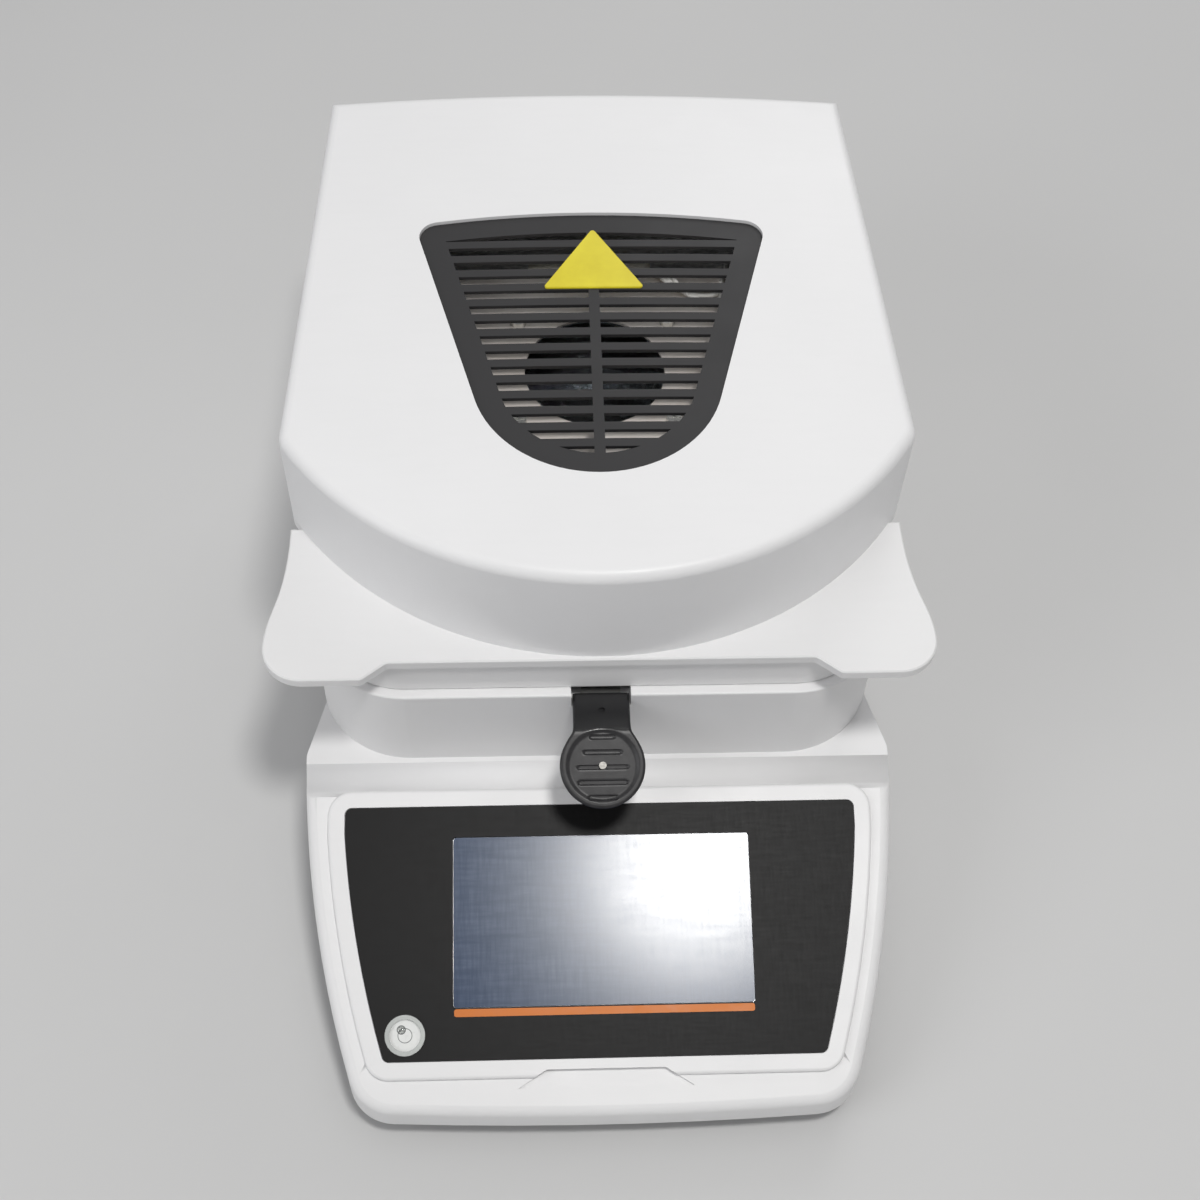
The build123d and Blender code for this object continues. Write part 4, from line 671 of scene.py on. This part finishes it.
def grip_material():
    """Black plastic: glossy neck, and a satin disc below the bend coloured a little greyer, with a random
    mottle.
    """
    mat, bsdf = shader("grip_glossy_and_satin", IOR=1.47)
    neck = spread(mat, axis_value(mat, "Y"), (GRIP_BEND - 0.6) * MM, (GRIP_BEND + 0.6) * MM)
    disc_mottle = spread(mat, noise(mat, 260.0, 5.0), 0.35, 0.7)
    disc = mixed(mat, disc_mottle, rgba((0.016, 0.0155, 0.017)), rgba((0.032, 0.031, 0.033)))
    # The neck is coloured darker than the disc below the bend.
    drive(mat, bsdf, "Base Color", mixed(mat, neck, disc, rgba((0.010, 0.010, 0.011))))
    drive(mat, bsdf, "Roughness", spread(mat, neck, 0, 1, 0.40, 0.24))
    bumped(mat, bsdf, noise(mat, 2200.0, 2.0), 0.00003)
    return mat


def lifter_grip():
    """Closed skin over rows across the grip, bent about the line between neck and disc."""
    bend_start = BEND_AT - 2
    tip = GRIP_DISC - 0.01
    stations = [bend_start * step / NECK_ROWS for step in range(NECK_ROWS)]
    stations += [bend_start + (DISC_AT - bend_start) * step / BEND_ROWS for step in range(BEND_ROWS)]
    stations += [DISC_AT + tip * math.sin(math.pi / 2 * step / TIP_ROWS) for step in range(TIP_ROWS + 1)]
    bm = bmesh.new()
    rows = []
    place = Vector((0, GRIP_BACK, GRIP_TOP))
    last = 0.0
    for along in stations:
        middle = (along + last) / 2
        angle = GRIP_TILT * ease(middle, BEND_AT - BEND_SPREAD, BEND_AT + BEND_SPREAD)
        place += (along - last) * Vector((0, -math.cos(angle), -math.sin(angle)))
        last = along
        angle = GRIP_TILT * ease(along, BEND_AT - BEND_SPREAD, BEND_AT + BEND_SPREAD)
        outward = Vector((0, -math.sin(angle), math.cos(angle)))
        half = grip_half(along)
        upper = []
        lower = []
        for column in range(COLUMNS + 1):
            across = half * math.sin(math.pi * (column / COLUMNS - 0.5))
            start = place + Vector((across, 0, 0))
            upper.append(bm.verts.new((start + outward * grip_relief(across, along, half)) * MM))
            lower.append(bm.verts.new((start - outward * GRIP_THICK) * MM))
        rows.append(upper + lower[::-1])
    for first, second in zip(rows, rows[1:]):
        for step in range(len(first)):
            after = (step + 1) % len(first)
            bm.faces.new((first[step], first[after], second[after], second[step]))
    bm.faces.new(rows[0][::-1])
    bm.faces.new(rows[-1])
    piece = link("grip_skin", mesh_of("grip_skin", bm), grip_material(), "lifter")
    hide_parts("lifter_grip")


lifter_grip()

# Lead wires of the lamp above the heat plate
wire_white = moulded("wire_white", (0.72, 0.71, 0.68), 0.45, grain=900.0)
LEAD_RADIUS = 0.9
LEADS = ((0.0, 62.0), (2.6, 56.0), (5.2, 48.0))
for number, (offset, end_x) in enumerate(LEADS):
    wire(
        f"lamp_lead_{number + 1}",
        [
            (18.0 + offset, 104.0, 139.0),
            (22.0 + offset, 101.0, 147.0),
            (24.0 + offset, 98.5, PLATE_TOP + 3.0),
            (30.0 + offset, 90.0 - offset, PLATE_TOP + 2.4),
            (44.0 + offset, 88.0 - offset, PLATE_TOP + 1.6),
            (end_x, 98.0 - offset, PLATE_TOP + 2.0),
            (end_x + 6.0, 112.0, 146.0),
        ],
        LEAD_RADIUS, wire_white, "hood",
    )

# Filament of the ring lamp
tungsten = turned_metal("tungsten", (0.30, 0.29, 0.28), 0.35)
FILAMENT_TURNS = 90
TURN_STEPS = 8
COIL_RADIUS = 1.3
FILAMENT_RADIUS = 0.22
filament = []
for step in range(FILAMENT_TURNS * TURN_STEPS + 1):
    share = step / (FILAMENT_TURNS * TURN_STEPS)
    around = math.radians(90) + (2 * math.pi - LAMP_SWEEP) / 2 + share * LAMP_SWEEP
    winding = 2 * math.pi * FILAMENT_TURNS * share
    out = LAMP_RADIUS + COIL_RADIUS * math.cos(winding)
    level = LAMP_Z + COIL_RADIUS * math.sin(winding)
    filament.append((out * math.cos(around), CHAMBER_Y + out * math.sin(around), level))
wire("lamp_filament", filament, FILAMENT_RADIUS, tungsten, "hood")

# Marks on the rocker switch: a bar on the upper half and a ring on the lower half
mark_white = moulded("mark_white", (0.75, 0.75, 0.74), 0.5)
ROCKER_X = -22.0
ROCKER_PIVOT_Y = REAR_Y - 2.5
ROCKER_TILT = math.radians(9)
ROCKER_FACE = 4.5
ROCKER_HALF = 7.8
ROCKER_RISE = 1.4


def rocker_half(side):
    """Frame in the middle of the upper (1) or lower (-1) half of the rocker's face."""
    turned = Matrix.Rotation(ROCKER_TILT, 3, "X")
    middle = Vector((0, ROCKER_FACE + ROCKER_RISE / 2, side * ROCKER_HALF / 2))
    along = turned @ Vector((0, side * ROCKER_RISE, ROCKER_HALF)).normalized()
    across = Vector((-1, 0, 0))
    place = Matrix((across, along, across.cross(along))).transposed().to_4x4()
    place.translation = (Vector((ROCKER_X, ROCKER_PIVOT_Y, PORT_Z)) + turned @ middle) * MM
    return place @ Matrix.Scale(MM, 4)


MARK_LEVELS = (-0.05, 0.06)
slab(
    "rocker_bar", rectangle(0.35, -2.0, 2.0, 0.2), *MARK_LEVELS,
    rocker_half(1), 0.02, mark_white, "rocker", "rocker_black",
)
ring(
    "rocker_ring", (0, 0), 1.5, 2.1, *MARK_LEVELS,
    rocker_half(-1), mark_white, "rocker", "rocker_black",
)

# Contact blades of the mains inlet, over the solid pins
BLADE_HALF_X = 1.06
BLADE_HALF_Y = 2.06
BLADE_LENGTH = 13.06
BLADE_SPOTS = ((0.0, 2.0), (-7.0, -2.0), (7.0, -2.0))
INLET_LIP = 2.2
INLET_DEPTH = 17.0
inlet_middle = Vector((-62.0, PORT_Z + 5.2))
inlet_floor_y = REAR_Y + INLET_LIP - INLET_DEPTH
looking_in = Matrix(((-1, 0, 0), (0, 0, 1), (0, 1, 0))).transposed().to_4x4()
for number, (across, rise) in enumerate(BLADE_SPOTS):
    place = looking_in.copy()
    place.translation = Vector((inlet_middle.x - across, inlet_floor_y, inlet_middle.y + rise)) * MM
    slab(
        f"inlet_blade_{number + 1}", rectangle(BLADE_HALF_X, -BLADE_HALF_Y, BLADE_HALF_Y, 0.3),
        0.0, BLADE_LENGTH, place @ Matrix.Scale(MM, 4), 0.3, nickel, "base", "port_nickel",
    )


# Light, floor and camera
def area_light(name, place, target, size, power, colour=(1, 1, 1)):
    """Round soft lamp that points at a target."""
    data = bpy.data.lights.new(name, "AREA")
    data.shape = "DISK"
    data.size = size
    data.energy = power
    data.color = colour
    lamp = bpy.data.objects.new(name, data)
    lamp.location = place
    lamp.rotation_euler = (Vector(target) - Vector(place)).to_track_quat("-Z", "Y").to_euler()
    bpy.context.scene.collection.objects.link(lamp)
    return lamp


area_light("key", (0.17, -0.40, 1.62), (0.0, -0.02, 0.10), 0.22, 11.0, (1.0, 0.99, 0.97))
area_light("fill_left", (-1.3, -0.7, 1.1), (0.0, 0.0, 0.08), 1.0, 6.0, (0.97, 0.98, 1.0))
area_light("fill_back", (0.5, 1.4, 1.2), (0.0, 0.05, 0.08), 1.0, 5.0)

# The camera sees a paler world than the one that lights the object, and a paler far floor
SKY_LIGHT = 0.38
SKY_SEEN = 0.60
FLOOR_GLOW = 0.33
GLOW_FROM_TO = (0.8, 3.2)
FLOOR_REACH = 6.0
world = bpy.data.worlds.new("studio")
bpy.context.scene.world = world
world.use_nodes = True
world.node_tree.nodes["Background"].inputs["Color"].default_value = rgba((0.955, 0.955, 0.96))
seen = put(world, "ShaderNodeLightPath").outputs["Is Camera Ray"]
sky = spread(world, seen, 0.0, 1.0, SKY_LIGHT, SKY_SEEN)
world.node_tree.links.new(sky, world.node_tree.nodes["Background"].inputs["Strength"])

floor_mat, floor_bsdf = shader("floor", Roughness=0.75)
floor_tone = spread(floor_mat, noise(floor_mat, 3.0), 0.3, 0.7)
floor_grey = mixed(floor_mat, floor_tone, rgba((0.60,) * 3), rgba((0.62,) * 3))
drive(floor_mat, floor_bsdf, "Base Color", floor_grey)
away = put(floor_mat, "ShaderNodeVectorMath", {"Vector": point(floor_mat)}, operation="LENGTH")
seen = put(floor_mat, "ShaderNodeLightPath").outputs["Is Camera Ray"]
far_glow = spread(floor_mat, away.outputs["Value"], *GLOW_FROM_TO, 0.0, FLOOR_GLOW)
drive(floor_mat, floor_bsdf, "Emission Strength", math_node(floor_mat, "MULTIPLY", far_glow, seen))
floor_bsdf.inputs["Emission Color"].default_value = rgba((0.97, 0.97, 0.98))
floor_mesh = bpy.data.meshes.new("floor")
floor_corners = [(x * FLOOR_REACH, y * FLOOR_REACH, 0) for x, y in ((-1, -1), (1, -1), (1, 1), (-1, 1))]
floor_mesh.from_pydata(floor_corners, [], [(0, 1, 2, 3)])
floor = bpy.data.objects.new("floor", floor_mesh)
floor_mesh.materials.append(floor_mat)
bpy.context.scene.collection.objects.link(floor)

# Camera solved from the photo's edges; it looks down on the instrument
PHOTO_SIDE = 1200.0
FOCAL_PIXELS = 1810.2
SENSOR = 36.0
camera_place = Vector((-22.79, -388.99, 648.82)) * MM
down = math.radians(55.69)
turn = math.radians(3.64)
roll = math.radians(2.23)
ahead = Vector((math.sin(turn) * math.cos(down), math.cos(turn) * math.cos(down), -math.sin(down)))
level_right = Vector((math.cos(turn), -math.sin(turn), 0))
level_up = level_right.cross(ahead)
right = math.cos(roll) * level_right + math.sin(roll) * level_up
up = math.cos(roll) * level_up - math.sin(roll) * level_right
camera_data = bpy.data.cameras.new("camera")
camera_data.sensor_width = SENSOR
camera_data.lens = FOCAL_PIXELS / PHOTO_SIDE * SENSOR
camera = bpy.data.objects.new("camera", camera_data)
camera.matrix_world = Matrix((right, up, -ahead)).transposed().to_4x4()
camera.location = camera_place
bpy.context.scene.collection.objects.link(camera)
bpy.context.scene.camera = camera

bpy.context.scene.view_settings.view_transform = "Standard"
